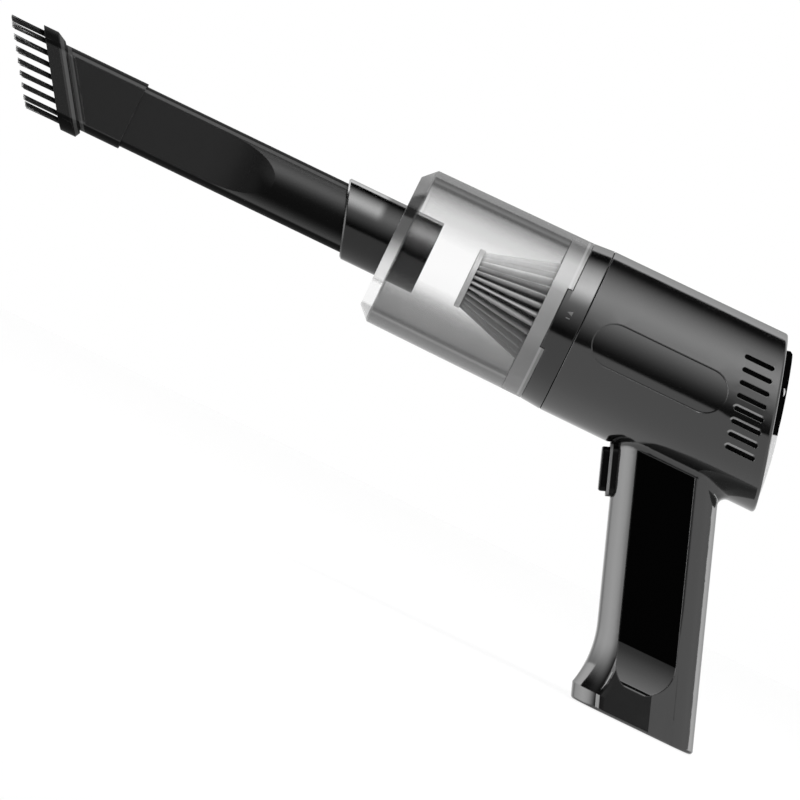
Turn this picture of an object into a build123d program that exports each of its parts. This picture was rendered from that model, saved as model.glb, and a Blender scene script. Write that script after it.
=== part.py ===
from build123d import *
from math import atan, cos, degrees, hypot, radians, sin, sqrt, tan
import os

# A cordless handheld vacuum cleaner with a pistol grip, in millimetres. The handle's base lies on
# Z = 0 with its centre at the origin, and the body axis runs along X, nose towards -X.

# Body
axis_height = 129.7
front_face_x = -85.4
body_front_radius = 33.9
body_rear_radius = 34.3
body_length = 83.5
rear_slant = 15.0
housing_wall = 2.2
rear_edge_round = 1.2
seam = 0.4
slide_fit = 0.2
loose_fit = 0.3
shaft_fit = 0.05
overrun = 1.0

# Bayonet ring and lock collar
neck_radius = 25.6
neck_wall = 3.6
neck_length = 14.4
ring_flange_radius = 31.2
ring_flange_thickness = 2.4
collar_length = 8.3
collar_tab_length = 2.0
collar_tab_height = 24.6
collar_turn_angle = 22.0
lug_count = 4
lug_angle = 16.0
lug_height = 1.3
lug_width = 1.8
lug_setback = 0.5
bead_height = 0.6
bead_width = 1.4

# Dust cup
cup_length = 71.7
cup_front_radius = 32.5
cup_rear_radius = 33.2
cup_wall = 5.4
cup_front_wall = 6.4
cup_chamfer = 5.0
cup_inner_chamfer = 1.6
cup_rim_length = 8.2

# Inlet tube
inlet_radius = 15.0
inlet_bore = 13.1
inlet_step_bore = 11.4
inlet_reach = 20.2
inlet_inner_reach = 15.8
inlet_slant = 18.0
inlet_bevel = 0.7
inlet_step_depth = 3.4
seal_width = 2.4
seal_depth = 0.9

# Crevice nozzle
nozzle_radius = 12.8
nozzle_wall = 1.5
nozzle_half_thickness = 7.4
nozzle_length = 121.6
nozzle_round_length = 30.4
nozzle_scoop_length = 26.4
nozzle_slant = 34.6

# Brush
sleeve_wall = 0.85
sleeve_length = 30.4
flange_radius = 17.0
flange_half_thickness = 11.2
flange_depth = 8.8
flange_ahead = 4.6
flange_chamfer = 2.5
flange_lip = 1.0
band_setback = 1.5
band_width = 2.1
band_height = 0.7
bristle_length = 14.6
bristle_backing = 1.4
bristle_size = 0.3
bristle_spread = 0.03
tuft_pitch = 3.9
tuft_side_count = 7
tuft_rings = 2
strand_pitch = 0.36
tuft_inset = 2.7
tuft_end_pitch = 3.4

# Filter
filter_cap_radius = 12.3
filter_cap_thickness = 2.3
filter_cap_round = 0.6
filter_length = 31.0
filter_base_radius = 20.7
filter_flange_radius = 23.8
filter_flange_thickness = 2.5
filter_plug_length = 6.0
pleat_count = 30
pleat_depth_ratio = 0.84
filter_wall = 1.6
media_setback = 0.5
gasket_width = 2.0
gasket_height = 0.5

# Handle
handle_rear_x = 26.3
toe_x = -28.1
rake = 20.0
grip_depth = 41.7
grip_width = 33.0
grip_front_round = 13.5
grip_rear_round = 10.0
grip_overlap = 10.2
neck_fillet = 3.2
scoop_start_z = 31.2
scoop_sections = 5
toe_top_z = 5.8
base_round = 1.2
base_wall = 3.0
grip_cavity_width = 24.0
inlay_front_inset = 8.5
inlay_rear_inset = 10.1
inlay_bottom_z = 28.0
inlay_tip_z = 12.9
inlay_top_gap = 1.9
inlay_depth = 2.4
inlay_thickness = 2.1
inlay_gap = 0.15

# Power switch
button_length = 17.4
button_width = 14.0
button_height = 3.0
button_travel = 1.5
button_top_gap = 0.8
button_round = 2.2
button_face_round = 0.8
button_stem = 4.0
skirt_thickness = 1.2
bezel_width = 1.6
bezel_height = 1.9
bezel_gap = 0.25
bezel_depth = 3.4
switch_size = 9.0
switch_depth = 8.0
switch_floor = 1.0
switch_rib_height = 5.4

# Rear panel and exhaust cap
panel_thickness = 2.4
panel_bulge = 3.3
port_offset = 12.6
port_radius = 12.0
port_wall = 1.8
port_length = 9.0
cap_radius = 16.5
cap_thickness = 3.2
cap_chamfer = 0.9
cap_plug_length = 6.0
cap_plug_wall = 1.6
cap_proud = 3.1
cap_seat_gap = 0.1
cap_side_gap = 0.6

# Side recess and vents
recess_rear_inset = 20.9
recess_height = 17.6
recess_front_inset = 6.2
recess_depth = 0.8
vent_count = 8
vent_length = 12.5
vent_height = 1.8
vent_pitch = 4.95
vent_shift = 1.17
vent_top_z = 18.8
vent_rear_inset = 21.5
foam_wall = 3.0
foam_ahead = 1.5
foam_gap_angle = 40.0

# Fan and motor
fan_radius = 24.0
fan_depth = 10.0
fan_disc = 1.4
fan_hub_radius = 5.0
fan_blade_count = 9
fan_blade_thickness = 1.1
fan_blade_root = 0.5
fan_blade_bow = 3.8
fan_tip_ratio = 0.93
fan_eye_radius = 12.0
shroud_wall = 1.6
shroud_gap = 1.4
mount_plate = 2.4
mount_slot_count = 6
mount_slot_arc = 42.0
mount_slot_inset = 2.0
mount_collar_wall = 1.4
motor_radius = 17.5
motor_rear_inset = 30.1
motor_round = 1.2
motor_bell = 2.0
motor_boss_radius = 6.0
shaft_radius = 1.6
shaft_tail = 3.0
terminal_spread = 10.0
terminal_width = 3.0
terminal_thickness = 0.8
terminal_reach = 2.5

# Battery, boards and charging inlet
cell_side_gap = 0.25
cell_gap = 0.2
cell_bottom = 22.0
cell_head_room = 14.1
cell_tip_radius = 2.9
cell_tip_height = 1.0
holder_thickness = 2.0
board_thickness = 1.6
board_width = 34.0
board_height = 30.0
board_gap = 5.0
capacitor_radius = 4.0
chip_length = 12.0
chip_width = 6.0
chip_height = 4.0
charge_board_length = 13.0
charge_board_width = 17.0
socket_front_inset = 8.1
socket_width = 9.0
socket_height = 3.3
socket_depth = 7.4
socket_wall = 0.4
socket_floor = 1.0
socket_tongue = 0.7
socket_recess_width = 12.0
socket_recess_height = 6.4
socket_recess_round = 3.1
socket_recess_depth = 1.0

# Screws
boss_radius = 4.4
boss_reach = 26.5
boss_front_inset = 30.4
boss_rear_inset = 22.5
base_boss_x = 12.0
base_boss_z = 14.0
screw_radius = 1.3
screw_head_radius = 2.6
screw_head_height = 1.8
screw_length = 14.0
screw_seat_y = 8.0
screw_slot_length = 3.1
screw_slot_width = 0.6

body_axis = Axis((0, 0, axis_height), (1, 0, 0))
collar_rear_x = front_face_x - seam
collar_front_x = collar_rear_x - collar_length
cup_rear_x = collar_front_x - slide_fit
cup_front_x = cup_rear_x - cup_length
neck_front_x = front_face_x - neck_length
rim_bore = neck_radius + loose_fit
lug_bore = rim_bore - lug_height - loose_fit
lug_rear_x = cup_rear_x - lug_setback
side_plane = Plane(origin=(0, 0, axis_height), x_dir=(1, 0, 0), z_dir=(0, -1, 0))
rear_center_x = front_face_x + body_length


def x_plane(x):
    """A plane square to the body axis, with its origin on the axis and its normal rearward."""
    return Plane(origin=(x, 0, axis_height), x_dir=(0, 1, 0), z_dir=(1, 0, 0))


def radial_plane(angle):
    """A plane through the body axis whose Y direction points outward, angle degrees from the top."""
    turn = radians(angle)
    return Plane(
        origin=(0, 0, axis_height),
        x_dir=(1, 0, 0),
        z_dir=(0, -cos(turn), -sin(turn)),
    )


def forward_plane(x, slant):
    """A plane that crosses the body axis at x and leans so that its top stands further forward."""
    turn = radians(slant)
    return Plane(
        origin=(x, 0, axis_height),
        x_dir=(0, 1, 0),
        z_dir=(-cos(turn), 0, -sin(turn)),
    )


def rear_plane(offset):
    """The slanted plane of the body's rear end, moved rearward by offset."""
    turn = radians(rear_slant)
    return Plane(
        origin=(rear_center_x + offset * cos(turn), 0, axis_height + offset * sin(turn)),
        x_dir=(0, 1, 0),
        z_dir=(cos(turn), 0, sin(turn)),
    )


def ring(inner, outer, front_x, rear_x):
    """A plain ring round the body axis."""
    with BuildPart() as made:
        with BuildSketch(x_plane(front_x)):
            Circle(outer)
            if inner > 0:
                Circle(inner, mode=Mode.SUBTRACT)
        extrude(amount=rear_x - front_x)
    return made.part


def arc_block(inner, outer, front_x, rear_x, start_angle, arc):
    """A piece of a ring round the body axis, from start_angle degrees past the top, over arc degrees."""
    with BuildPart() as made:
        with BuildSketch(radial_plane(start_angle)):
            with Locations(((front_x + rear_x) / 2, (inner + outer) / 2)):
                Rectangle(rear_x - front_x, outer - inner)
        revolve(axis=body_axis, revolution_arc=arc)
    return made.part


# Dust cup: a thick clear barrel with a chamfered nose, a stepped rear rim with lugs, and side notches
cup_cavity_front = cup_front_x + cup_front_wall
cup_cavity_rear = cup_rear_x - cup_rim_length
with BuildPart() as dust_cup:
    with BuildSketch(side_plane):
        with BuildLine():
            Polyline(
                (cup_front_x, inlet_radius),
                (cup_front_x, cup_front_radius - cup_chamfer),
                (cup_front_x + cup_chamfer, cup_front_radius),
                (cup_rear_x, cup_rear_radius),
                (cup_rear_x, rim_bore),
                (cup_cavity_rear, rim_bore),
                (cup_cavity_rear, cup_rear_radius - cup_wall),
                (cup_cavity_front + cup_inner_chamfer, cup_front_radius - cup_wall),
                (cup_cavity_front, cup_front_radius - cup_wall - cup_inner_chamfer),
                (cup_cavity_front, inlet_radius),
                close=True,
            )
        make_face()
    revolve(axis=body_axis)
    notch_depth = collar_tab_length - slide_fit + loose_fit
    with BuildSketch(x_plane(cup_rear_x - notch_depth)):
        Rectangle(2 * (cup_rear_radius + overrun), collar_tab_height + 2 * loose_fit)
        Circle(rim_bore, mode=Mode.SUBTRACT)
    extrude(amount=notch_depth + overrun, mode=Mode.SUBTRACT)
    for index in range(lug_count):
        middle = (index + 0.5) * 360 / lug_count
        add(
            arc_block(
                lug_bore,
                rim_bore + lug_height,
                lug_rear_x - lug_width,
                lug_rear_x,
                middle - lug_angle / 2,
                lug_angle,
            )
        )
dust_cup.part.label = "dust_cup"

# Inlet tube: it passes through the cup's front wall and takes the nozzle in its slanted mouth
inlet_front_x = cup_front_x - inlet_reach
inlet_rear_x = cup_front_x + inlet_inner_reach
inlet_step_x = cup_front_x + inlet_step_depth
mouth_overrun = inlet_radius * tan(radians(inlet_slant)) + inlet_bevel
seal_x = cup_front_x - seal_width * 2
with BuildPart() as inlet_tube:
    with BuildSketch(side_plane):
        with BuildLine():
            Polyline(
                (inlet_front_x - mouth_overrun, inlet_bore),
                (inlet_front_x - mouth_overrun, inlet_radius),
                (inlet_rear_x, inlet_radius),
                (inlet_rear_x, inlet_step_bore),
                (inlet_step_x, inlet_step_bore),
                (inlet_step_x, inlet_bore),
                (seal_x + seal_width, inlet_bore),
                (seal_x + seal_width, inlet_bore + seal_depth),
                (seal_x, inlet_bore + seal_depth),
                (seal_x, inlet_bore),
                close=True,
            )
        make_face()
    revolve(axis=body_axis)
    split(bisect_by=forward_plane(inlet_front_x, inlet_slant), keep=Keep.BOTTOM)
    mouth_face = inlet_tube.faces().sort_by(Axis.X)[0]
    chamfer(mouth_face.outer_wire().edges(), inlet_bevel)
inlet_tube.part.label = "inlet_tube"

# Inlet seal: a rubber ring in the tube's groove, whose lip just meets the nozzle
inlet_seal = ring(
    nozzle_radius + shaft_fit, inlet_bore + seal_depth, seal_x, seal_x + seal_width
)
inlet_seal.label = "inlet_seal"


def flat_sided_bar(radius, half_thickness, front_x, rear_x, flat_end_x, round_x):
    """A round bar with two sides cut flat at the front, run out to the round in a curved scoop."""
    with BuildPart() as made:
        with BuildSketch(x_plane(front_x)):
            Circle(radius)
        extrude(amount=rear_x - front_x)
        with BuildSketch(Plane.XY.offset(axis_height)):
            with BuildLine():
                flat = Line((front_x - overrun, half_thickness), (flat_end_x, half_thickness))
                scoop = TangentArc(flat @ 1, (round_x, radius), tangent=(1, 0))
                Polyline(
                    scoop @ 1,
                    (round_x, radius + 2 * overrun),
                    (front_x - overrun, radius + 2 * overrun),
                    flat @ 0,
                )
            make_face()
            mirror(about=Plane.XZ)
        extrude(amount=radius + overrun, both=True, mode=Mode.SUBTRACT)
    return made.part


# Crevice nozzle: a round tube that turns into a flat-sided one with a slanted mouth
nozzle_rear_x = inlet_step_x - slide_fit
nozzle_front_x = inlet_front_x - nozzle_length
nozzle_round_x = inlet_front_x - nozzle_round_length
nozzle_flat_x = nozzle_round_x - nozzle_scoop_length
nozzle_overrun = flange_radius * tan(radians(nozzle_slant)) + flange_ahead + overrun
with BuildPart() as crevice_nozzle:
    add(
        flat_sided_bar(
            nozzle_radius,
            nozzle_half_thickness,
            nozzle_front_x - nozzle_overrun,
            nozzle_rear_x,
            nozzle_flat_x,
            nozzle_round_x,
        )
    )
    add(
        flat_sided_bar(
            nozzle_radius - nozzle_wall,
            nozzle_half_thickness - nozzle_wall,
            nozzle_front_x - nozzle_overrun - overrun,
            nozzle_rear_x + overrun,
            nozzle_flat_x,
            nozzle_round_x,
        ),
        mode=Mode.SUBTRACT,
    )
    split(bisect_by=forward_plane(nozzle_front_x, nozzle_slant), keep=Keep.BOTTOM)
crevice_nozzle.part.label = "crevice_nozzle"


def flat_sided_profile(radius, half_thickness):
    """The section of a flat-sided tube: a circle cut off at both sides."""
    Circle(radius)
    Rectangle(2 * half_thickness, 2 * radius, mode=Mode.INTERSECT)


def slanted_bar(radius, half_thickness, front_x, rear_x, square_rear=False):
    """A flat-sided bar whose ends lean like the nozzle's mouth, or whose rear end is square."""
    lean = radius * tan(radians(nozzle_slant)) + overrun
    rear_lean = 0 if square_rear else lean
    with BuildPart() as made:
        with BuildSketch(x_plane(front_x - lean)):
            flat_sided_profile(radius, half_thickness)
        extrude(amount=rear_x - front_x + lean + rear_lean)
        split(bisect_by=forward_plane(front_x, nozzle_slant), keep=Keep.BOTTOM)
        if not square_rear:
            split(bisect_by=forward_plane(rear_x, nozzle_slant), keep=Keep.TOP)
    return made.part


# Brush head: a sleeve over the nozzle's flat end with a slanted flange that carries the bristles
brush_bore = nozzle_radius + slide_fit
brush_half_bore = nozzle_half_thickness + slide_fit
flange_front_x = nozzle_front_x - flange_ahead
flange_rear_x = flange_front_x + flange_depth
sleeve_rear_x = nozzle_front_x + sleeve_length
sleeve_radius = brush_bore + sleeve_wall
sleeve_half_thickness = brush_half_bore + sleeve_wall
mouth_bore = nozzle_radius - nozzle_wall
mouth_half_bore = nozzle_half_thickness - nozzle_wall
backing_rear_x = flange_front_x + bristle_backing
with BuildPart() as brush_head:
    add(slanted_bar(flange_radius, flange_half_thickness, flange_front_x, flange_rear_x))
    mouth_axis = Axis((0, 0, axis_height), forward_plane(0, nozzle_slant).z_dir)
    flange_back = brush_head.faces().sort_by(mouth_axis)[0]
    chamfer(flange_back.edges(), flange_chamfer)
    add(slanted_bar(sleeve_radius, sleeve_half_thickness, flange_front_x, sleeve_rear_x, True))
    band_x = flange_rear_x + band_setback
    add(slanted_bar(sleeve_radius, sleeve_half_thickness + band_height, band_x, band_x + band_width))
    add(
        slanted_bar(
            brush_bore, brush_half_bore, nozzle_front_x - slide_fit, sleeve_rear_x + overrun, True
        ),
        mode=Mode.SUBTRACT,
    )
    add(
        slanted_bar(
            mouth_bore, mouth_half_bore, flange_front_x - overrun, nozzle_front_x + overrun
        ),
        mode=Mode.SUBTRACT,
    )
    add(
        slanted_bar(
            flange_radius - flange_lip,
            flange_half_thickness - flange_lip,
            flange_front_x - overrun,
            backing_rear_x,
        ),
        mode=Mode.SUBTRACT,
    )
brush_head.part.label = "brush_head"

# Bristles: tufts of fine strands round the slanted mouth, standing in a thin backing
bristle_root_x = flange_front_x + bristle_backing / 2


def tuft_places():
    """The centre of each tuft, as its distance to the right of and above the body axis."""
    reach = (tuft_side_count - 1) / 2
    end_radius = flange_radius - tuft_inset
    for side in (-1, 1):
        for index in range(tuft_side_count):
            yield side * (flange_half_thickness - tuft_inset), (index - reach) * tuft_pitch
        for index in (-1, 0, 1):
            across = index * tuft_end_pitch
            yield across, side * sqrt(end_radius**2 - across**2)


def strand_places():
    """The place of each strand in a tuft: a centre and rings of six, twelve and so on."""
    yield 0, 0
    for layer in range(1, tuft_rings + 1):
        for index in range(6 * layer):
            turn = radians(360 * index / (6 * layer))
            yield layer * strand_pitch * cos(turn), layer * strand_pitch * sin(turn)


def strand(tuft_y, tuft_z, across, up):
    """One bristle: a thin three-sided prism that leans a little away from its tuft's centre."""
    root_y = tuft_y + across
    root_z = tuft_z + up
    root_x = bristle_root_x - root_z * tan(radians(nozzle_slant))
    lean = Vector(-1, across * bristle_spread, up * bristle_spread)
    with BuildSketch(Plane(origin=(root_x, root_y, axis_height + root_z), z_dir=(-1, 0, 0))) as tip:
        RegularPolygon(bristle_size / 2, 3)
    return Solid.extrude(tip.sketch.face(), lean * (bristle_length + bristle_backing / 2))


with BuildPart() as brush_bristles:
    add(
        slanted_bar(
            flange_radius - flange_lip,
            flange_half_thickness - flange_lip,
            flange_front_x,
            backing_rear_x,
        )
    )
    add(
        slanted_bar(
            mouth_bore, mouth_half_bore, flange_front_x - overrun, backing_rear_x + overrun
        ),
        mode=Mode.SUBTRACT,
    )
    add([strand(*tuft, *place) for tuft in tuft_places() for place in strand_places()])
brush_bristles.part.label = "brush_bristles"

# Filter: a pleated cone between a front cap and a base flange, with a plug that fits the neck
filter_rear_x = neck_front_x
filter_flange_x = filter_rear_x - filter_flange_thickness
filter_front_x = filter_flange_x - filter_length
media_front_x = filter_front_x + filter_cap_thickness
neck_bore = neck_radius - neck_wall
plug_radius = neck_bore - loose_fit
with BuildPart() as filter_cap:
    with BuildSketch(x_plane(filter_front_x)):
        Circle(filter_cap_radius)
    extrude(amount=filter_cap_thickness)
    fillet(filter_cap.faces().sort_by(Axis.X)[0].edges(), filter_cap_round)
filter_cap.part.label = "filter_cap"


def pleat_star(outer):
    """The star-shaped section of the folded media, with sharp folds at the outer radius."""
    points = []
    for index in range(2 * pleat_count):
        turn = radians(180 * index / pleat_count)
        reach = outer if index % 2 == 0 else outer * pleat_depth_ratio
        points.append((reach * cos(turn), reach * sin(turn)))
    Polygon(*points, align=None)


media_front_radius = filter_cap_radius - media_setback
media_hollow_ratio = pleat_depth_ratio - filter_wall / filter_base_radius
with BuildPart() as filter_media:
    with BuildSketch(x_plane(media_front_x)):
        pleat_star(media_front_radius)
    with BuildSketch(x_plane(filter_flange_x)):
        pleat_star(filter_base_radius)
    loft(ruled=True)
    with BuildSketch(side_plane):
        with BuildLine():
            Polyline(
                (media_front_x, 0),
                (media_front_x, media_front_radius * media_hollow_ratio),
                (filter_flange_x, filter_base_radius * media_hollow_ratio),
                (filter_flange_x, 0),
                close=True,
            )
        make_face()
    revolve(axis=body_axis, mode=Mode.SUBTRACT)
filter_media.part.label = "filter_media"

filter_bore = plug_radius - filter_wall
gasket_x = filter_rear_x + (filter_plug_length - gasket_width) / 2
with BuildPart() as filter_base:
    with BuildSketch(side_plane):
        with BuildLine():
            Polyline(
                (filter_flange_x, filter_base_radius * media_hollow_ratio),
                (filter_flange_x, filter_flange_radius),
                (filter_rear_x, filter_flange_radius),
                (filter_rear_x, plug_radius),
                (gasket_x, plug_radius),
                (gasket_x, plug_radius - gasket_height),
                (gasket_x + gasket_width, plug_radius - gasket_height),
                (gasket_x + gasket_width, plug_radius),
                (filter_rear_x + filter_plug_length, plug_radius),
                (filter_rear_x + filter_plug_length, filter_bore),
                (filter_rear_x, filter_bore),
                close=True,
            )
        make_face()
    revolve(axis=body_axis)
filter_base.part.label = "filter_base"

filter_gasket = ring(
    plug_radius - gasket_height, neck_bore - shaft_fit, gasket_x, gasket_x + gasket_width
)
filter_gasket.label = "filter_gasket"

# Bayonet ring: the neck that the collar turns on and the cup's lugs lock into
ring_flange_x = front_face_x + housing_wall
ring_rear_x = ring_flange_x + ring_flange_thickness
bead_x = collar_front_x + collar_length / 2
slot_floor = lug_bore - loose_fit
slot_margin = degrees(loose_fit / neck_radius)
with BuildPart() as bayonet_ring:
    add(ring(neck_bore, neck_radius, neck_front_x, ring_rear_x))
    add(ring(neck_bore, ring_flange_radius, ring_flange_x, ring_rear_x))
    add(
        ring(
            neck_radius - overrun,
            neck_radius + bead_height,
            bead_x - bead_width / 2,
            bead_x + bead_width / 2,
        )
    )
    for index in range(lug_count):
        start = (index + 0.5) * 360 / lug_count - lug_angle / 2 - slot_margin
        add(
            arc_block(
                slot_floor,
                neck_radius + overrun,
                neck_front_x - overrun,
                lug_rear_x + loose_fit,
                start,
                lug_angle + 2 * slot_margin,
            ),
            mode=Mode.SUBTRACT,
        )
        add(
            arc_block(
                slot_floor,
                neck_radius + overrun,
                lug_rear_x - lug_width - loose_fit,
                lug_rear_x + loose_fit,
                start,
                lug_angle + 2 * slot_margin + collar_turn_angle,
            ),
            mode=Mode.SUBTRACT,
        )
bayonet_ring.part.label = "bayonet_ring"

# Lock collar: it turns on the neck, held by the bead, and its two tabs key into the cup's rim
with BuildPart() as lock_collar:
    with BuildSketch(side_plane):
        with BuildLine():
            Polyline(
                (collar_front_x, rim_bore),
                (collar_front_x, cup_rear_radius),
                (collar_rear_x, body_front_radius),
                (collar_rear_x, rim_bore),
                (bead_x + bead_width, rim_bore),
                (bead_x + bead_width, rim_bore + bead_height),
                (bead_x - bead_width, rim_bore + bead_height),
                (bead_x - bead_width, rim_bore),
                close=True,
            )
        make_face()
    revolve(axis=body_axis)
    with BuildSketch(x_plane(collar_front_x - collar_tab_length)):
        Circle(cup_rear_radius)
        Circle(rim_bore, mode=Mode.SUBTRACT)
        Rectangle(2 * cup_rear_radius, collar_tab_height, mode=Mode.INTERSECT)
    extrude(amount=collar_tab_length)
lock_collar.part.label = "lock_collar"

# Collar washer: a thin slip ring in the seam between the collar and the housing
collar_washer = ring(
    neck_radius + slide_fit,
    body_front_radius - seam,
    collar_rear_x + shaft_fit,
    front_face_x - shaft_fit,
)
collar_washer.label = "collar_washer"


def rear_x(z):
    """The handle's rear line at height z."""
    return handle_rear_x - z * tan(radians(rake))


def straight_front_x(z):
    """The handle's straight front line at height z."""
    return rear_x(z) - grip_depth / cos(radians(rake))


# The front line ends in an arc that runs forward to the toe
scoop_chord_x = toe_x - straight_front_x(scoop_start_z)
scoop_chord_z = scoop_start_z - toe_top_z
scoop_half_turn = radians(rake) - atan(scoop_chord_x / scoop_chord_z)
scoop_radius = hypot(scoop_chord_x, scoop_chord_z) / (2 * sin(scoop_half_turn))
scoop_center_x = straight_front_x(scoop_start_z) - scoop_radius * cos(radians(rake))
scoop_center_z = scoop_start_z - scoop_radius * sin(radians(rake))


def front_x(z):
    """The handle's front line at height z, with its scoop and the toe's undercut lip."""
    if z >= scoop_start_z:
        return straight_front_x(z)
    if z <= toe_top_z:
        return toe_x + (toe_top_z - z) * tan(radians(rake))
    return scoop_center_x + sqrt(scoop_radius**2 - (z - scoop_center_z) ** 2)


def grip_section(z):
    """The handle's rounded outline at height z."""
    with BuildSketch(Plane.XY.offset(z)) as section:
        with Locations(((front_x(z) + rear_x(z)) / 2, 0)):
            Rectangle(rear_x(z) - front_x(z), grip_width)
        fillet(section.vertices().group_by(Axis.X)[0], grip_front_round)
        fillet(section.vertices().group_by(Axis.X)[-1], grip_rear_round)
    return section.sketch


# The handle's own frame: Y runs up along the grip and X rearward across it
grip_plane = Plane(
    origin=(handle_rear_x - grip_depth / 2 / cos(radians(rake)), 0, 0),
    x_dir=(cos(radians(rake)), 0, sin(radians(rake))),
    z_dir=(0, -1, 0),
)
socket_x = straight_front_x(0) + socket_front_inset
grip_top_z = axis_height - body_front_radius + grip_overlap
inlay_left = -grip_depth / 2 + inlay_front_inset
inlay_right = grip_depth / 2 - inlay_rear_inset
inlay_radius = (inlay_right - inlay_left) / 2
inlay_middle = (inlay_left + inlay_right) / 2
inlay_tip = (inlay_tip_z - inlay_middle * sin(radians(rake))) / cos(radians(rake))
inlay_top_z = axis_height - body_front_radius + inlay_top_gap
button_top_z = axis_height - body_front_radius - button_top_gap
grip_face_y = grip_width / 2


def inlay_outline(inset, bottom_z):
    """A prism across the handle with the inlay's U outline, between bottom_z and the inlay's top."""
    radius = inlay_radius - inset
    with BuildPart() as made:
        with BuildSketch(grip_plane) as outline:
            with Locations((inlay_middle, inlay_tip + inlay_radius + grip_depth)):
                Rectangle(2 * radius, 2 * grip_depth)
            with Locations((inlay_middle, inlay_tip + inlay_radius)):
                Circle(radius)
        extrude(amount=grip_width, both=True)
        split(bisect_by=Plane.XY.offset(inlay_top_z - inset), keep=Keep.BOTTOM)
        split(bisect_by=Plane.XY.offset(bottom_z), keep=Keep.TOP)
    return made.part


# Inlay pockets: one in each side of the handle, as deep as the inlay's seat
with BuildPart() as inlay_pocket:
    add(inlay_outline(0, inlay_bottom_z))
    with BuildSketch(Plane.XZ):
        with Locations((0, axis_height / 2)):
            Rectangle(4 * grip_depth, axis_height)
    extrude(amount=grip_face_y - inlay_depth, both=True, mode=Mode.SUBTRACT)

# Side recess: a shallow pill in the barrel's left side
recess_length = body_length - recess_front_inset - recess_rear_inset
with BuildPart() as side_recess:
    add(ring(body_front_radius - recess_depth, body_rear_radius + overrun, front_face_x, rear_center_x))
    with BuildSketch(Plane.XZ):
        with Locations((front_face_x + recess_front_inset + recess_length / 2, axis_height)):
            SlotOverall(recess_length, recess_height)
    extrude(amount=2 * body_rear_radius, mode=Mode.INTERSECT)

# Inlay scoops: below each inlay the pocket's floor curves out to the handle's side
with BuildPart() as scoop_cutter:
    for side in (-1, 1):
        with BuildSketch(Plane.YZ.offset(-grip_depth)):
            with BuildLine():
                floor = side * (grip_face_y - inlay_depth)
                run_out = TangentArc(
                    (floor, inlay_bottom_z), (side * grip_face_y, inlay_tip_z), tangent=(0, -1)
                )
                Polyline(
                    run_out @ 1,
                    (side * (grip_face_y + overrun), inlay_tip_z),
                    (side * (grip_face_y + overrun), inlay_bottom_z),
                    run_out @ 0,
                )
            make_face()
        extrude(amount=2 * grip_depth)
    add(inlay_outline(0, inlay_tip_z), mode=Mode.INTERSECT)

scoop_step_z = (scoop_start_z - toe_top_z) / scoop_sections
scoop_heights = [scoop_start_z - index * scoop_step_z for index in range(scoop_sections)] + [toe_top_z]
with BuildPart() as grip:
    loft([grip_section(grip_top_z), grip_section(scoop_start_z)], ruled=True)
    loft([grip_section(z) for z in scoop_heights])
    loft([grip_section(toe_top_z), grip_section(0)], ruled=True)
    fillet(grip.faces().sort_by(Axis.Z)[0].edges(), base_round)

with BuildPart() as barrel:
    with BuildSketch(side_plane):
        with BuildLine():
            Polyline(
                (front_face_x, 0),
                (front_face_x, body_front_radius),
                (rear_center_x + body_rear_radius, body_rear_radius),
                (rear_center_x + body_rear_radius, 0),
                close=True,
            )
        make_face()
    revolve(axis=body_axis)
    split(bisect_by=rear_plane(0), keep=Keep.BOTTOM)
    rear_face = barrel.faces().sort_by(Axis.X)[-1]
    fillet(rear_face.edges(), rear_edge_round)


def grip_cross_plane(distance):
    """A plane square to the grip's centre line, the given distance up it from the base."""
    return Plane(
        origin=grip_plane.origin + grip_plane.y_dir * distance,
        x_dir=grip_plane.x_dir,
        z_dir=grip_plane.y_dir,
    )


def socket_plane(height):
    """A level plane over the charging socket's centre, the given height above the base."""
    return Plane(origin=(socket_x, 0, height))


def button_plane(depth):
    """The plane of the handle's front line at the button, moved into the handle by depth."""
    inward = Vector(cos(radians(rake)), 0, sin(radians(rake)))
    middle_z = button_top_z - button_length / 2 * cos(radians(rake))
    return Plane(
        origin=Vector(straight_front_x(middle_z), 0, middle_z) + inward * depth,
        x_dir=(0, 1, 0),
        z_dir=-inward,
    )


# Grip cavity: the hollow that holds the cells, with a flat floor and a top that opens to the barrel
barrel_cavity_radius = body_front_radius - housing_wall
cavity_depth = grip_depth - 2 * housing_wall
cavity_round = grip_front_round - housing_wall * 2
with BuildPart() as grip_cavity:
    with BuildSketch(grip_cross_plane(-grip_depth)):
        RectangleRounded(cavity_depth, grip_cavity_width, cavity_round)
    extrude(amount=2 * axis_height)
    split(bisect_by=Plane.XY.offset(base_wall), keep=Keep.TOP)
    split(bisect_by=Plane.XY.offset(axis_height - barrel_cavity_radius / 2), keep=Keep.BOTTOM)

# Button opening: one hole through the handle's front wall takes the bezel and the button
bezel_outer_width = button_width + 2 * (bezel_gap + bezel_width)
bezel_outer_length = button_length + 2 * (bezel_gap + bezel_width)
with BuildPart() as button_opening:
    with BuildSketch(button_plane(-bezel_height - button_height)):
        RectangleRounded(
            bezel_outer_width + 2 * inlay_gap,
            bezel_outer_length + 2 * inlay_gap,
            button_round + bezel_width,
        )
    extrude(amount=-(bezel_height + button_height + bezel_depth + skirt_thickness + 2 * overrun))

# Screw bosses: each joins the two halves, with a well for the head in the right half
boss_places = (
    (front_face_x + boss_front_inset, axis_height - boss_reach),
    (front_face_x + boss_front_inset, axis_height + boss_reach),
    (rear_center_x - boss_rear_inset, axis_height + boss_reach),
    (base_boss_x, base_boss_z),
)


def boss_cylinders(radius, start_y, end_y):
    """A cylinder at each screw, across the body from start_y to end_y."""
    with BuildPart() as made:
        with BuildSketch(Plane.XZ.offset(-end_y)):
            with Locations(*boss_places):
                Circle(radius)
        extrude(amount=end_y - start_y)
    return made.part


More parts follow.
